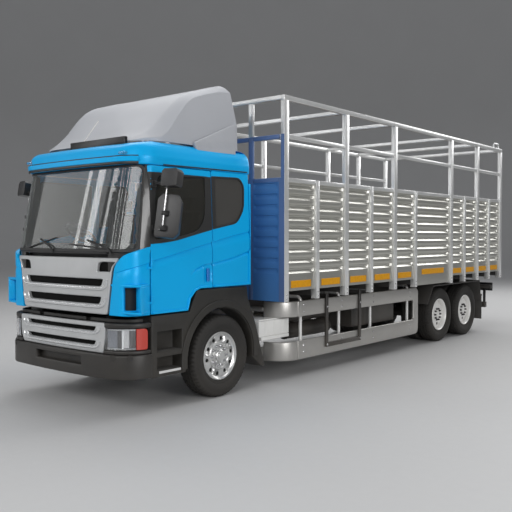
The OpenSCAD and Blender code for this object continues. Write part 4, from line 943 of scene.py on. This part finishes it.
for side, s in SIDES:
    door, skin = "door_" + side, side_skin(s)
    first = s > 0
    b = bmesh.new()
    panel_in(b, DOOR, skin, 0.050, [DOOR_WINDOW], shoulder_depth, CREASES, 0.030, 0.006)
    for z in HINGES:
        pin_in(b, (s * HINGE_X, AXLE + HINGE_Y, z + 0.030), 0.011, 0.058, 20)
        box_in(b, (1.197, -1.178, z + 0.002), (1.210, -1.138, z + 0.058), 0.003, 1, s)
    bar_in(b, DOOR_HEM, 0.026, 0.016, skin)
    made(door + "_skin", b, cab_blue, door, (door,))
    panel(door + "_pane", door_glass_painted_shade, door, "glass", DOOR_WINDOW, side_skin(s, 0.016), 0.006, step=0.05, lip=0.002,
          stands_for=("door_glass_" + side,))
    panel(door + "_seal", seal_rubber, door, "dark_plastic", DOOR_FRAME, side_skin(s, -0.0025), 0.020, [DOOR_PANE],
          step=0.03, lip=0.003)
    b = bmesh.new()
    bar_in(b, [(-0.232, 1.485 + 0.02 * k) for k in range(9)], 0.045, 0.016, set_back(skin, 0.006))
    made(door + "_pull", b, pull_blue, door)
    b = bmesh.new()
    panel_in(b, SIDE, skin, 0.050, [QUARTER], shoulder_depth, CREASES, 0.030, 0.006)
    bar_in(b, SIDE_HEM, 0.026, 0.016, skin)
    made("cab_side_" + side, b, cab_blue, "cab", ("cab_sides",) if first else ())
    panel("quarter_pane_" + side, quarter_panel, "cab", "dark_panel", QUARTER, side_skin(s, 0.012), 0.006, step=0.05,
          lip=0.002, stands_for=("quarter_windows",) if first else ())
    panel("quarter_seal_" + side, seal_rubber, "cab", "dark_plastic", QUARTER_FRAME, side_skin(s, -0.0025), 0.020,
          [QUARTER_SIGHT], step=0.03, lip=0.003)

# ---------------------------------------------------------------------------------------------------
# Windscreen and pillars: one bowed laminated pane bonded to a black frame, between gloss black pillars that
# run down into the corners. Two wipers rest along its foot.
pillar_black = finish("pillar_black", (0.030, 0.029, 0.028), 0.28, coat=0.3, vary=0.08, grain=300, bump=0.02)


def front_skin(extra=0.0, face=CAB_FACE):
    """The cab front: bowed, round at the corners and raked above the belt."""
    def place(u, v, d):
        x, y, nx, ny = girth(u, face)
        x, y = x - nx * (d + extra), y - ny * (d + extra)
        if v > BELT:
            y = (v - BELT) * math.tan(RAKE) - face[0] + (y + face[0]) / math.cos(RAKE)
            limit = half_width(v) - max(d + extra, 0)
            x = max(-limit, min(limit, x))
        return x, AXLE + y, v
    return place


def screen_edge(low, high, foot, head, r):
    """An outline for the windscreen from its half widths and its heights at foot and head."""
    return rounded([(-low, foot), (low, foot), (high, head), (-high, head)], r, 7)


panel("windscreen_pane", screen_glass, "cab", "glass", screen_edge(1.232, 1.150, 1.868, 2.864, 0.07), front_skin(0.012),
      0.010, step=0.06, lip=0.003, stands_for=("windscreen",))
panel("windscreen_surround", seal_rubber, "cab", "dark_plastic", screen_edge(1.240, 1.158, 1.862, 2.868, 0.07),
      front_skin(0.006), 0.016, [screen_edge(1.216, 1.138, 1.900, 2.842, 0.08)], step=0.04, lip=0.004)
PILLAR = [(1.238, 1.864), (1.385, 1.864), (1.350, 2.08), (1.310, 2.29), (1.255, 2.57), (1.182, 2.866), (1.156, 2.866)]
PILLAR_FOOT = [(0.832, 1.64), (0.95, 1.66), (0.98, 1.72), (1.03, 1.775), (1.10, 1.835), (1.17, 1.857), (0.832, 1.857)]
b = bmesh.new()
for s in (-1, 1):
    panel_in(b, PILLAR, set_back(front_skin(), 0, s), 0.054, step=0.04, lip=0.006)
    panel_in(b, PILLAR_FOOT, set_back(front_skin(0.021), 0, s), 0.050, step=0.04, lip=0.004)
made("screen_pillars", b, pillar_black, "cab", ("cab_pillars",))
runs = [[(-0.16, 1.845), (-0.17, 1.905), (-0.43, 2.010)], [(0.90, 1.840), (0.89, 1.895), (0.50, 2.000)]]
tubes("wiper_arms", [[front_skin()(u, v, -0.018 if k else -0.004) for k, (u, v) in enumerate(run)] for run in runs],
      0.012, seal_rubber, "cab", 0.05)
b = bmesh.new()
for u0, v0, u1, v1 in ((-0.72, 1.905, -0.14, 2.03), (0.16, 1.95, 0.88, 1.90)):
    bar_in(b, [(u0 + (u1 - u0) * k / 10, v0 + (v1 - v0) * k / 10) for k in range(11)], 0.014, 0.016, front_skin(0.008))
made("wiper_blades", b, seal_rubber, "cab")

# Corner panels: blue mouldings that turn round the cab's front corners. Each carries an air vane, a blade on
# two shelves with a dark slot behind it, and the fixed halves of the door hinges.
CORNER_FACE = (1.56, 1.20, 0.20)
CORNER_SWEEP = [(0.90, 1.615), (0.97, 1.630), (1.08, 1.662), (1.20, 1.694), (1.32, 1.724), (1.45, 1.752)]
CORNER_LINES = [[(u, z + dz) for u, z in CORNER_SWEEP] for dz in (0, -0.009, -0.070)]
slot_dark = finish("slot_dark", (0.006, 0.006, 0.007), 0.6, vary=0.3, grain=80, bump=0.1)


def prism_in(b, outline, low, high, r):
    """An upright prism from a plan outline, with rounded edges."""
    rows = [[b.verts.new((x, AXLE + y, z)) for x, y in outline] for z in (low, high)]
    fresh = [b.faces.new(rows[0]), b.faces.new(list(reversed(rows[1])))]
    for j in range(len(outline)):
        fresh.append(b.faces.new((rows[0][j - 1], rows[0][j], rows[1][j], rows[1][j - 1])))
    bmesh.ops.recalc_face_normals(b, faces=fresh)
    bmesh.ops.bevel(b, geom=list({e for f in fresh for e in f.edges}), offset=r, segments=3, profile=0.5,
                    affect="EDGES", clamp_overlap=True)


def corner_depth(u, v):
    """How deep a corner panel is pressed in under its sweep line."""
    top, band, edge = height_on(CORNER_SWEEP, u), 0.070, 0.009
    if not top - band < v < top:
        return 0.0
    step = min(max((u - 0.93) / 0.10, 0), 1) * 0.012
    return step * min((v - top + band) / 0.060, 1) if v < top - edge else step * (top - v) / edge


CORNER = rounded([(0.862, 1.142), (1.432, 1.142), (1.432, 1.936), (1.320, 1.903), (1.164, 1.860), (1.075, 1.822),
                  (0.990, 1.750), (0.950, 1.696), (0.925, 1.568), (0.900, 1.407)],
                 [0.01, 0.01, 0.01, 0.04, 0.03, 0.02, 0.03, 0.03, 0.02, 0.02], 3)
AIR_SLOT = rounded(plate(1.085, 1.205, 1.255, 1.465), 0.02, 3)
SHELF = ((0.885, -1.513), (1.05, -1.505), (1.20, -1.487), (1.335, -1.453), (1.270, -1.33), (1.211, -1.218),
         (1.175, -1.218), (1.160, -1.33), (0.895, -1.475))
BLADE = ((1.335, -1.453), (1.285, -1.350), (1.211, -1.218), (1.176, -1.218), (1.176, -1.25), (1.242, -1.416))
for side, s in SIDES:
    skin = front_skin(0, CORNER_FACE)
    b = bmesh.new()
    panel_in(b, CORNER, set_back(skin, 0, s), 0.050, [AIR_SLOT], corner_depth, CORNER_LINES, 0.03, 0.008)
    for z in HINGES:
        pin_in(b, (s * HINGE_X, AXLE + HINGE_Y, z + 0.013), 0.006, 0.089, 16)
        box_in(b, (1.194, -1.234, z - 0.031), (1.211, -1.188, z - 0.002), 0.003, 1, s)
    made("corner_panel_" + side, b, cab_blue, "cab", ("cab_corners",) if s > 0 else ())
    b = bmesh.new()
    for outline, low, high, r in ((SHELF, 1.170, 1.196, 0.008), (SHELF, 1.475, 1.501, 0.008),
                                  (BLADE, 1.190, 1.482, 0.010)):
        prism_in(b, [(s * x, y) for x, y in outline], low, high, r)
    made("corner_vane_" + side, b, cab_blue, "cab")
    # A near-black sheet behind the air slot: painted shade, standing for the shadow in the opening.
    panel("vane_slot_" + side, slot_dark, "cab", "dark_plastic", plate(1.075, 1.19, 1.28, 1.48),
          set_back(skin, 0.051, s), 0.006, step=0.05, lip=0.002)

# Grille lid: a silver moulding hinged along its top edge over the radiator. Two mouths with bright rolled
# lips cross it, and recesses cut its upper corners; near-black sheets in them are painted shade.
LID_HALF = [(0.828, 1.146), (0.878, 1.444), (0.908, 1.629), (0.925, 1.695), (1.000, 1.764), (1.000, 1.798)]
LID_ROUND = [0.04, 0.05, 0.05, 0.05, 0.02, 0.012]
LID = rounded(mirrored(LID_HALF[:1]) + LID_HALF + mirrored(LID_HALF[:0:-1]),
              LID_ROUND[:1] + LID_ROUND + LID_ROUND[:0:-1], 4)
RECESS = rounded([(0.664, 1.636), (0.888, 1.640), (0.906, 1.700), (0.960, 1.752), (0.728, 1.752), (0.684, 1.728)],
                 [0.02, 0.02, 0.03, 0.01, 0.03, 0.03], 4)
LID_MOUTHS = ((1.262, 0.03), (1.468, 0.0))
slots = [rounded([(-0.735 + k, z), (0.735 - k, z), (0.765 - k, z + 0.085), (-0.765 + k, z + 0.085)],
                 [0.05, 0.05, 0.015, 0.015]) for z, k in LID_MOUTHS]
b = bmesh.new()
panel_in(b, LID, front_skin(), 0.040, slots + [RECESS, mirrored(RECESS)],
         lambda u, v: 0.010 * max(0, 1.20 - v) / 0.06, (), 0.035, 0.009)
for x in (-0.6, 0.6):
    pin_in(b, (x, AXLE - 1.522, 1.788), 0.006, 0.063, 16, Matrix.Rotation(math.pi / 2, 4, "Y"))
made("grille_lid_panel", b, grille_silver, "grille_lid", ("grille_lid",))
b = bmesh.new()
for z, k in LID_MOUTHS:
    lip_in(b, [(-0.838 + k, z + 0.080), (-0.836 + k, z + 0.045), (-0.820 + k, z + 0.010), (-0.785 + k, z - 0.014),
               (-0.735 + k, z - 0.023)], z - 0.025, 0.042, 0.024, front_skin())
made("grille_lid_lips", b, lip_silver, "grille_lid")
b = bmesh.new()
# The near-black sheets behind the mouths are the grille mesh. Those in the two recesses are painted shade, where the
# recesses lie in shadow.
backing = [(0.655, 1.625), (0.90, 1.628), (0.92, 1.70), (0.975, 1.760), (0.655, 1.760)]
for outline in (plate(-0.80, 1.25, 0.80, 1.355), plate(-0.80, 1.456, 0.80, 1.561), mirrored(backing), backing):
    panel_in(b, outline, front_skin(0.042), 0.006, step=0.06, lip=0.002)
made("grille_lid_mesh_and_recess_shade", b, grille_black_and_painted_shade, "grille_lid")

# ---------------------------------------------------------------------------------------------------
# Roof: one deep pressing with a brow that overhangs the windscreen, rounded all round, with rain gutters along
# both sides and two marker lamps let into the brow.
BROW_FACE, ROOF_BACK, BACK_ROUND = (1.42, 1.165, ROUND), 0.65, 0.08


def roof_ring(b, z, ix, front_in, back_in):
    """One level of the roof: the cab's plan outline drawn in by its own amount at the sides, front and back."""
    front, half, r = BROW_FACE
    flat, turn_in = half - r, ROOF_BACK - BACK_ROUND
    plan = [(flat * f, BULGE * f ** 2 - front, 0.086 * flat * f, -1) for f in (0, 0.25, 0.5, 0.75, 1)]
    for k in range(1, 11):
        c, d = math.cos(math.radians(9 * k)), math.sin(math.radians(9 * k))
        plan.append((flat + r * d, BULGE - front + r - r * c, d, -c))
    plan += [(half, y, 1, 0) for y in (-0.7, -0.35, 0.0, 0.3, turn_in)]
    for k in range(1, 6):
        c, d = math.cos(math.radians(18 * k)), math.sin(math.radians(18 * k))
        plan.append((half - BACK_ROUND + BACK_ROUND * c, turn_in + BACK_ROUND * d, c, d))
    plan += [(x, ROOF_BACK, 0, 1) for x in (0.7, 0.35, 0)]
    plan += [(-x, y, -nx, ny) for x, y, nx, ny in reversed(plan[1:-1])]
    ring = []
    for x, y, nx, ny in plan:
        size = math.hypot(nx, ny)
        ring.append(b.verts.new((x - nx / size * ix, AXLE + y - ny / size * (front_in if ny < 0 else back_in), z)))
    return ring


b = bmesh.new()
loft_in(b, [roof_ring(b, *row) for row in (
    (3.105, 0.30, 0.50, 0.30), (3.08, 0.12, 0.20, 0.12), (3.02, 0.07, 0.08, 0.07), (2.872, 0.06, 0.06, 0.06),
    (2.872, 0.016, 0.022, 0.002), (2.880, 0.008, 0.012, 0), (2.892, 0.005, 0.008, 0), (2.955, 0.001, 0.001, 0),
    (2.968, 0.0, 0.0, 0), (2.982, 0.003, 0.006, 0), (3.03, 0.009, 0.024, 0.003), (3.06, 0.016, 0.040, 0.008),
    (3.09, 0.027, 0.070, 0.02), (3.12, 0.048, 0.125, 0.035), (3.145, 0.086, 0.24, 0.06), (3.158, 0.14, 0.38, 0.10),
    (3.166, 0.24, 0.55, 0.16), (3.1698, 0.40, 0.80, 0.30))])
made("cab_roof_pressing", b, cab_blue, "cab", ("cab_roof",))
b = bmesh.new()
for s in (-1, 1):
    bar_in(b, [(-0.95 + 0.1 * k, 2.880 + 0.0009 * k) for k in range(16)], 0.016, 0.010,
           lambda u, v, d: (s * (1.161 - d), AXLE + u, v))
made("rain_gutters", b, seal_rubber, "cab")


def brow_at(u, v, d):
    """Puts a point of the brow into place."""
    x, y, nx, ny = girth(u, BROW_FACE)
    return x - nx * d, AXLE + y - ny * d, v


BROW = rounded([(-1.12, 2.902), (1.12, 2.902), (1.13, 2.962), (-1.13, 2.962)], [0.02, 0.02, 0.03, 0.03], 4)
panel("brow_panel", cab_blue, "cab", "blue_paint", BROW, set_back(brow_at, -0.018), 0.034, (),
      lambda u, v: 0.006 * (2.962 - v) / 0.060, (), 0.04, 0.007)
b = bmesh.new()
# Two near-black bars along the brow are painted shade: a thin one in its upper crease and a broad one in the shadow
# under its overhang.
for z, wide, high in ((2.969, 0.012, 0.004), (2.887, 0.034, 0.010)):
    bar_in(b, [(-1.12 + 0.08 * k, z) for k in range(29)], wide, high, brow_at)
box_in(b, (-0.26, -1.222, 3.12), (0.79, -1.168, 3.222), 0.012)
made("roof_hatch_strip_and_brow_shade", b, lamp_black_and_painted_shade, "cab")
tubes("antenna", [[(0.0, AXLE - 1.215, 3.20), (0.03, AXLE - 1.00, 3.50)]], 0.009, bright_tube, "cab")
b = bmesh.new()
for x in (-0.93, 0.93):
    box_in(b, (x - 0.05, -1.392, 2.985), (x + 0.05, -1.33, 3.015), 0.010, 3)
made("marker_lamps", b, lens_clear, "cab")

# Roof deflector: a light grey fibreglass hood, open at the back, that stands on two crossbars. Its face rises in
# one curve and rolls over into the sides, and small side fairings fill the corners behind it.
hood_grey = finish("hood_grey", (0.40, 0.412, 0.440), 0.5, coat=0.06, vary=0.04, mottle=0.9, grain=240, bump=0.012)
RISE = [(-1.16, 0.004), (-0.96, 0.165), (-0.74, 0.360), (-0.62, 0.478), (-0.52, 0.572), (-0.44, 0.632), (-0.36, 0.675),
        (-0.28, 0.704), (0.08, 0.811), (0.45, 0.855)]
SPREAD = [(-1.16, 0.72), (-1.09, 0.90), (-1.04, 0.955), (-0.99, 1.0), (-0.92, 1.038), (-0.86, 1.058), (-0.70, 1.074),
          (-0.50, 1.083), (-0.2, 1.085), (0.45, 1.085)]
FALL = [(-1.16, 0.003), (-1.05, 0.06), (-0.97, 0.12), (-0.86, 0.19), (-0.76, 0.19), (-0.64, 0.14), (-0.5, 0.105),
        (-0.395, 0.09), (-0.1, 0.085), (0.09, 0.09), (0.45, 0.11)]
TURN = [(-1.16, 6), (-0.8, 8), (-0.5, 10), (-0.3, 13), (0.1, 16), (0.45, 16)]
REAR = [(0.0, 0.450), (0.35, 0.440), (0.49, 0.390), (0.74, 0.310), (0.856, 0.230)]
STATIONS = [-1.16, -1.13, -1.09, -1.05, -1.01, -0.97, -0.92, -0.87, -0.82, -0.77, -0.72, -0.67, -0.62, -0.57, -0.52,
            -0.48, -0.44, -0.40, -0.36, -0.32, -0.28, -0.22, -0.12, -0.02, 0.08, 0.17, 0.26, 0.35, 0.45]
ACROSS = (0, 0.2, 0.4, 0.55, 0.68, 0.78, 0.82, 0.86, 0.90, 0.935, 0.96, 0.98, 0.992, 1.0)
ROOF_TOP, SKIN, CUT = 3.1705, 0.028, 0.08
b = bmesh.new()
rings = []
for y in STATIONS:
    h, w, fall, turn = (height_on(table, y) for table in (RISE, SPREAD, FALL, TURN))
    half = [(w * f, h - fall * f ** turn - min(0.014, h * 0.1) * (1 - min(max((f - 0.78) / 0.08, 0), 1)))
            for f in ACROSS]
    edge = half[-1][1]
    half += [(w * 1.001, edge * 0.93), (w * 1.001, edge * 0.72), (w, edge * 0.45), (w, edge * 0.2), (w, 0.0)]
    outer = mirrored(reversed(half[1:])) + half
    inner = [(x * (w - SKIN) / w, z - min(SKIN, z * 0.5)) for x, z in outer]
    ring = []
    for x, z in outer + inner[::-1]:
        along = y if y < CUT else CUT + (y - CUT) * (height_on(REAR, z) - CUT) / 0.37
        ring.append(b.verts.new((x, AXLE + along, ROOF_TOP + z)))
    rings.append(ring)
n = len(rings[0])
for one, two in zip(rings, rings[1:]):
    for j in range(n):
        b.faces.new((one[j - 1], one[j], two[j], two[j - 1]))
for ring in (rings[0], rings[-1]):
    for j in range(n // 2 - 1):
        b.faces.new((ring[j], ring[j + 1], ring[n - 2 - j], ring[n - 1 - j]))
FAIRING = rounded([(-0.40, 3.200), (-0.34, 3.098), (0.382, 3.112), (0.358, 3.490), (0.30, 3.492)],
                  [0.03, 0.03, 0.02, 0.03, 0.05], 4)
for s in (-1, 1):
    panel_in(b, FAIRING, lambda u, v, d: (s * (1.132 - d - 0.03 * max(0, v - 3.2)), AXLE + u, v), 0.040, (),
             lambda u, v: 0.010 * (v < 3.138 + (u + 0.302) * 0.134), [[(-0.5, 3.111), (0.5, 3.245)]], 0.05, 0.008)
for y in (-0.33, 0.20):
    box_in(b, (-1.065, y, ROOF_TOP), (1.065, y + 0.06, 3.21), 0.008)
made("deflector_hood", b, hood_grey, "cab", ("roof_deflector",), 30)

# Mirrors: two black housings on each door, the tall main glass below and the wide one above, on round arms.
# They are moulded plastic over a steel bracket, and a bright rod ties them together.
mirror_black = finish("mirror_black", (0.024, 0.0235, 0.024), 0.36, vary=0.08, grain=320, bump=0.05)
mirror_glass = finish("mirror_glass", (0.82, 0.83, 0.84), 0.04, metal=1.0, vary=0.02, grain=8, bump=0.002)
for side, s in SIDES:
    broken_edges("mirrors_" + side, mirror_black, 0.020, steps=4)
    b = bmesh.new()
    for centre, sweep, half_w, half_h, back in (((1.358, AXLE - 1.049, 2.270), 33, 0.118, 0.205, 0.045),
                                                ((1.464, AXLE - 1.096, 2.700), 10, 0.088, 0.078, 0.060)):
        start = len(b.verts)
        box_in(b, (-half_w, back - 0.002, -half_h), (half_w, back + 0.004, half_h), 0.002, 1, y0=0)
        b.verts.ensure_lookup_table()
        turn = Matrix.Rotation(math.radians(-9.5), 4, "X") @ Matrix.Rotation(math.radians(sweep), 4, "Z")
        turn = Matrix.Diagonal((s, 1, 1, 1)) @ Matrix.Translation(centre) @ turn
        bmesh.ops.transform(b, matrix=turn, verts=b.verts[start:])
    made("mirror_glasses_" + side, b, mirror_glass, "door_" + side)
    rod = [(1.3735, -1.083, 2.66), (1.3735, -1.172, 2.118), (1.196, -1.150, 2.125)]
    tubes("mirror_rod_" + side, [[(s * x, AXLE + y, z) for x, y, z in rod]], 0.009, nut_steel, "door_" + side,
          0.03)
    b = bmesh.new()
    for z in (2.14, 2.31):
        y = -1.172 + 0.164 * (z - 2.118)
        box_in(b, (1.346, y - 0.016, z - 0.026), (1.401, y + 0.055, z + 0.026), 0.006, 2, s)
    box_in(b, (1.192, -1.170, 2.105), (1.212, -1.100, 2.175), 0.006, 2, s)
    box_in(b, (1.168, -1.155, 2.615), (1.200, -1.085, 2.685), 0.006, 2, s)
    made("mirror_clamps_" + side, b, mirror_black, "door_" + side)

# ---------------------------------------------------------------------------------------------------
# Load deck: hardwood planks across folded steel bearers on two long runners, with the bearers' ends at the
# posts. The planks are screwed down with small gaps.
deck_wood = finish("deck_planks", (0.13, 0.085, 0.05), 0.7, vary=0.3, mottle=3.0, grain=25, bump=0.25,
                   stretch=(3, 0.2, 1))
POSTS = [1.000, 1.761, 2.522, 3.283, 4.044, 4.805, 6.265, 6.89125, 7.5175, 8.14375, 8.770]
BAYS = [(POSTS[k] + (0.100 if k % 2 == 0 else 0.075), POSTS[k + 1]) for k in range(10)]
BACK, WIDE_BAY, INNER, FACE, CLEAR = 8.870, 5, 1.3545, 1.415, 0.0005
b = bmesh.new()
for k in range(18):
    x = k * 0.1505 - INNER
    box_in(b, (x + 0.002, 1.0405, 1.293), (x + 0.1485, BACK - 0.062, 1.330), 0.003, 1)
made("deck_boards", b, deck_wood, "chassis", ("load_deck",))
b = bmesh.new()
for y in POSTS:
    box_in(b, (-INNER, max(y + 0.005, 1.0405), 1.192), (INNER, min(y + 0.075, BACK - 0.06), 1.2925), 0.006)
for s in (-1, 1):
    box_in(b, (0.35, 1.10, 1.0005), (0.43, BACK - 0.08, 1.1915), 0.008, 2, s)
made("deck_bearers", b, chassis_black, "chassis")

# Ribbed sheet: every wall bay is one sheet with nine long pockets pressed in, so that flat bands stand out
# between them. Each pocket has sloped ends, a sharp upper edge and a rolled lower one.
RIBS = [1.546 + 0.147 * k for k in range(9)]
POCKET = ((-0.020, 0), (-0.014, 0.06), (0.016, 0.94), (0.022, 1), (0.042, 1), (0.049, 0.92), (0.058, 0.08), (0.064, 0))


def pressed_wall(name, sheets, look, body, deep, stands_for=()):
    """Sheets given by a frame, a length and a lowest and highest edge; a node tree presses the pockets in."""
    b = bmesh.new()
    press = b.verts.layers.float_vector.new("press")
    for origin, along, outward, length, low, high, thick in sheets:
        origin, along, outward = Vector(origin), Vector(along), Vector(outward)
        n = max(2, round(length / 0.12))
        ends = [(0, 0), (0.016, 0), (0.022, 0.08), (0.046, 0.92), (0.054, 1)]
        cols = ends + [(0.054 + (length - 0.108) * k / n, 1) for k in range(1, n)]
        cols += [(length - u, press_u) for u, press_u in reversed(ends)]
        rows = [(low, 0)]
        for z in RIBS:
            rows += [(z + dz, pz) for dz, pz in POCKET]
        rows += [(high, 0)]
        face = []
        for z, pz in rows:
            line = []
            for u, pu in cols:
                v = b.verts.new(origin + along * u + Vector((0, 0, z)))
                v[press] = outward * -min(pz, pu)
                line.append(v)
            face.append(line)
        back = [[b.verts.new(origin + along * u + Vector((0, 0, z)) - outward * thick) for u, _ in cols]
                for z in (low, high)]
        for one, two in zip(face, face[1:]):
            for j in range(len(cols) - 1):
                b.faces.new((one[j], one[j + 1], two[j + 1], two[j]))
        for j in range(len(cols) - 1):
            b.faces.new((back[0][j + 1], back[0][j], back[1][j], back[1][j + 1]))
            b.faces.new((back[0][j], back[0][j + 1], face[0][j + 1], face[0][j]))
            b.faces.new((face[-1][j], face[-1][j + 1], back[1][j + 1], back[1][j]))
        for j in (0, -1):
            b.faces.new([line[j] for line in face] + [back[1][j], back[0][j]])
    bmesh.ops.recalc_face_normals(b, faces=b.faces)
    flat = bpy.data.meshes.new(name + "_flat")
    b.to_mesh(flat)
    b.free()

    def wire(add, link, given):
        way, grow, move = add("InputNamedAttribute"), add("ShaderNodeVectorMath"), add("SetPosition")
        way.data_type, grow.operation = "FLOAT_VECTOR", "SCALE"
        fill(way, Name="press")
        link(way.outputs["Attribute"], grow.inputs[0])
        link(given["Depth"], grow.inputs["Scale"])
        link(given["Seed"], move.inputs["Geometry"])
        link(grow.outputs[0], move.inputs["Offset"])
        return move.outputs[0]

    b = bmesh.new()
    b.from_mesh(grown(name, flat, look, {"Depth": deep}, wire))
    made(name, b, look, body, stands_for, 32, closed=False)


wall_silver = finish("ribbed_sheet", (0.52, 0.515, 0.475), 0.32, metal=0.80, vary=0.05, mottle=1.6, grain=120,
                     bump=0.03, stretch=(1, 0.3, 1))
rack_silver = finish("rack_tube", (0.74, 0.745, 0.74), 0.32, metal=0.65, vary=0.05, mottle=2.0, grain=110, bump=0.03)
# The front wall's blue is painted reflection: the blue cab in front of it, mirrored in the sheets.
front_wall_reflection_blue = finish("front_wall_painted_reflection", (0.06, 0.18, 0.42), 0.34, coat=0.25, vary=0.08, mottle=1.4, grain=180, bump=0.03)
sheets = []
for s in (-1, 1):
    for k, (y0, y1) in enumerate(BAYS):
        y0, y1 = AXLE + y0 + CLEAR, AXLE + y1 - CLEAR
        sheets.append(((s * FACE, y0 if s > 0 else y1, 0), (0, s, 0), (s, 0, 0), y1 - y0,
                       1.170 if k == WIDE_BAY else 1.290, 2.7875, 0.060))
pressed_wall("side_walls", sheets, wall_silver, "chassis", 0.040, ("wall_panels",))
b = bmesh.new()
for s in (-1, 1):
    for y0, y1 in BAYS:
        box_in(b, (1.355, y0 + CLEAR, 2.788), (1.440, y1 - CLEAR, 2.848), 0.006, 2, s)
made("wall_top_rails", b, rack_silver, "chassis")
# The frame's blue is painted reflection of the blue cab in front of it; the post tops above it stay silver.
frame_reflection_blue = finish("front_frame_painted_reflection", (0.10, 0.16, 0.32), 0.40, coat=0.1, vary=0.07, mottle=1.6, grain=160, bump=0.03)
FRONT_BAYS = ((-INNER, -0.8905), (-0.8095, 0.8095), (0.8905, INNER))
sheets = [((x0, AXLE + 1.0005, 0), (1, 0, 0), (0, -1, 0), x1 - x0, 1.15, 2.7875, 0.039) for x0, x1 in FRONT_BAYS]
pressed_wall("front_wall_sheets", sheets, front_wall_reflection_blue, "chassis", 0.014, ("front_wall",))
b = bmesh.new()
for x in (-0.85, 0.85):
    box_in(b, (x - 0.0397, 1.00, 1.15), (x + 0.0397, 1.04, 3.433), 0.006)
for x0, x1 in FRONT_BAYS:
    box_in(b, (x0, 1.00, 2.788), (x1, 1.04, 2.848), 0.006)
    box_in(b, (x0, 1.00, 3.3734), (x1, 1.04, 3.4334), 0.006)
# Thin blue sheets on the corner posts' fronts: painted reflection of the cab.
for s in (-1, 1):
    for x0, z0, z1 in ((1.357, 1.15, 2.846), (1.3895, 2.846, 3.433)):
        box_in(b, (x0, 0.9962, z0), (1.4485, 0.9997, z1), 0.001, 1, s)
made("front_wall_frame", b, frame_reflection_blue, "chassis")
b = bmesh.new()
for x in (-0.85, 0.85):
    box_in(b, (x - 0.0397, 1.00, 3.434), (x + 0.0397, 1.04, 3.8997), 0.006)
made("front_post_tops", b, rack_silver, "chassis")

# Posts, rails and bows: square steel tube, silver painted, welded in a cage above the walls. The CAD tubes
# stay with rounded edges. Fishplates and bolts tie the posts to the deck.
broken_edges("wall_posts", rack_silver, 0.007)
broken_edges("rack_rails", rack_silver, 0.007)
bolts("post_bolts", [((s * 1.4502, AXLE + y + (0.050 if k % 2 == 0 else 0.0375), z), (s, 0, 0))
                     for s in (-1, 1) for k, y in enumerate(POSTS) for z in (1.19, 1.25)],
      nut_steel, "chassis", 0.011, 0.008)
loop = [(1.42, AXLE + BACK - y, z) for y, z in ((0.42, 3.950), (0.42, 4.055), (0.16, 4.055), (0.16, 3.950))]
tubes("top_loop", [loop], 0.014, rack_silver, "chassis", 0.05)

# Side reflectors: one amber prismatic plate on the skirt of each bay, riveted flat under the ribs.
# They are moulded plastic with a fine prism pattern.
amber = finish("amber_reflector", (0.66, 0.30, 0.003), 0.45, coat=0.05, vary=0.10, mottle=30, grain=260, bump=0.2)
tune(amber, Specular_IOR_Level=0.2)
b = bmesh.new()
for s in (-1, 1):
    for k, (y0, y1) in enumerate(BAYS):
        m, w, z = (y0 + y1) / 2, min((y1 - y0) * 0.36, 0.45), 1.36 if k == WIDE_BAY else 1.33
        box_in(b, (FACE + CLEAR, m - w, z), (FACE + 0.0065, m + w, z + 0.10), 0.0025, 1, s)
made("side_reflectors", b, amber, "chassis")

# ---------------------------------------------------------------------------------------------------
# Back end: two steel leaves on lift-off hinges with a rod latch, lamps in black housings, an underrun bar
# and rubber flaps behind the last wheels.
door_silver = finish("door_sheet", (0.47, 0.47, 0.45), 0.38, metal=0.6, vary=0.07, mottle=1.8, grain=120, bump=0.04)
red_lens = finish("tail_lens", (0.50, 0.018, 0.014), 0.16, coat=0.6, vary=0.12, mottle=40, grain=220, bump=0.12)
flap_rubber = finish("flap_rubber", (0.045, 0.044, 0.043), 0.62, vary=0.15, grain=240, bump=0.10, dust=0.3)
for side, s in SIDES:
    body, x, y = "rear_door_" + side, s * 0.075, AXLE + BACK + 0.012
    broken_edges(body, door_silver, 0.005)
    tubes("latch_rod_" + side, [[(x, y, 1.36), (x, y, 2.83)]], 0.012, nut_steel, body)
    b = bmesh.new()
    for z in (1.40, 2.05, 2.70):
        box_in(b, (x - 0.03, BACK - 0.003, z - 0.02), (x + 0.03, BACK + 0.026, z + 0.02))
    box_in(b, (x - 0.012, BACK + 0.020, 1.78), (x + (0.212 if s > 0 else 0.012), BACK + 0.034, 1.81))
    made("latch_keepers_" + side, b, nut_steel, body)
broken_edges("rear_bumper", chassis_black, 0.008)
b = bmesh.new()
for s in (-1, 1):
    box_in(b, (0.84, BACK - 0.0897, 0.85), (1.28, BACK - 0.048, 1.03), 0.008, 2, s)
    box_in(b, (1.10, BACK - 0.158, 0.6005), (1.145, BACK - 0.098, 0.8995), 0.006, 2, s)
made("tail_lamp_housings", b, lamp_black_and_painted_shade, "chassis", ("tail_lamps",))
b = bmesh.new()
for s in (-1, 1):
    for k in range(3):
        x = 0.852 + 0.142 * k
        box_in(b, (x, BACK - 0.0475, 0.866), (x + 0.134, BACK - 0.040, 1.014), 0.003, 2, s)
made("tail_lamp_lenses", b, red_lens, "chassis")
broken_edges("rear_mudguards", flap_rubber, 0.005)
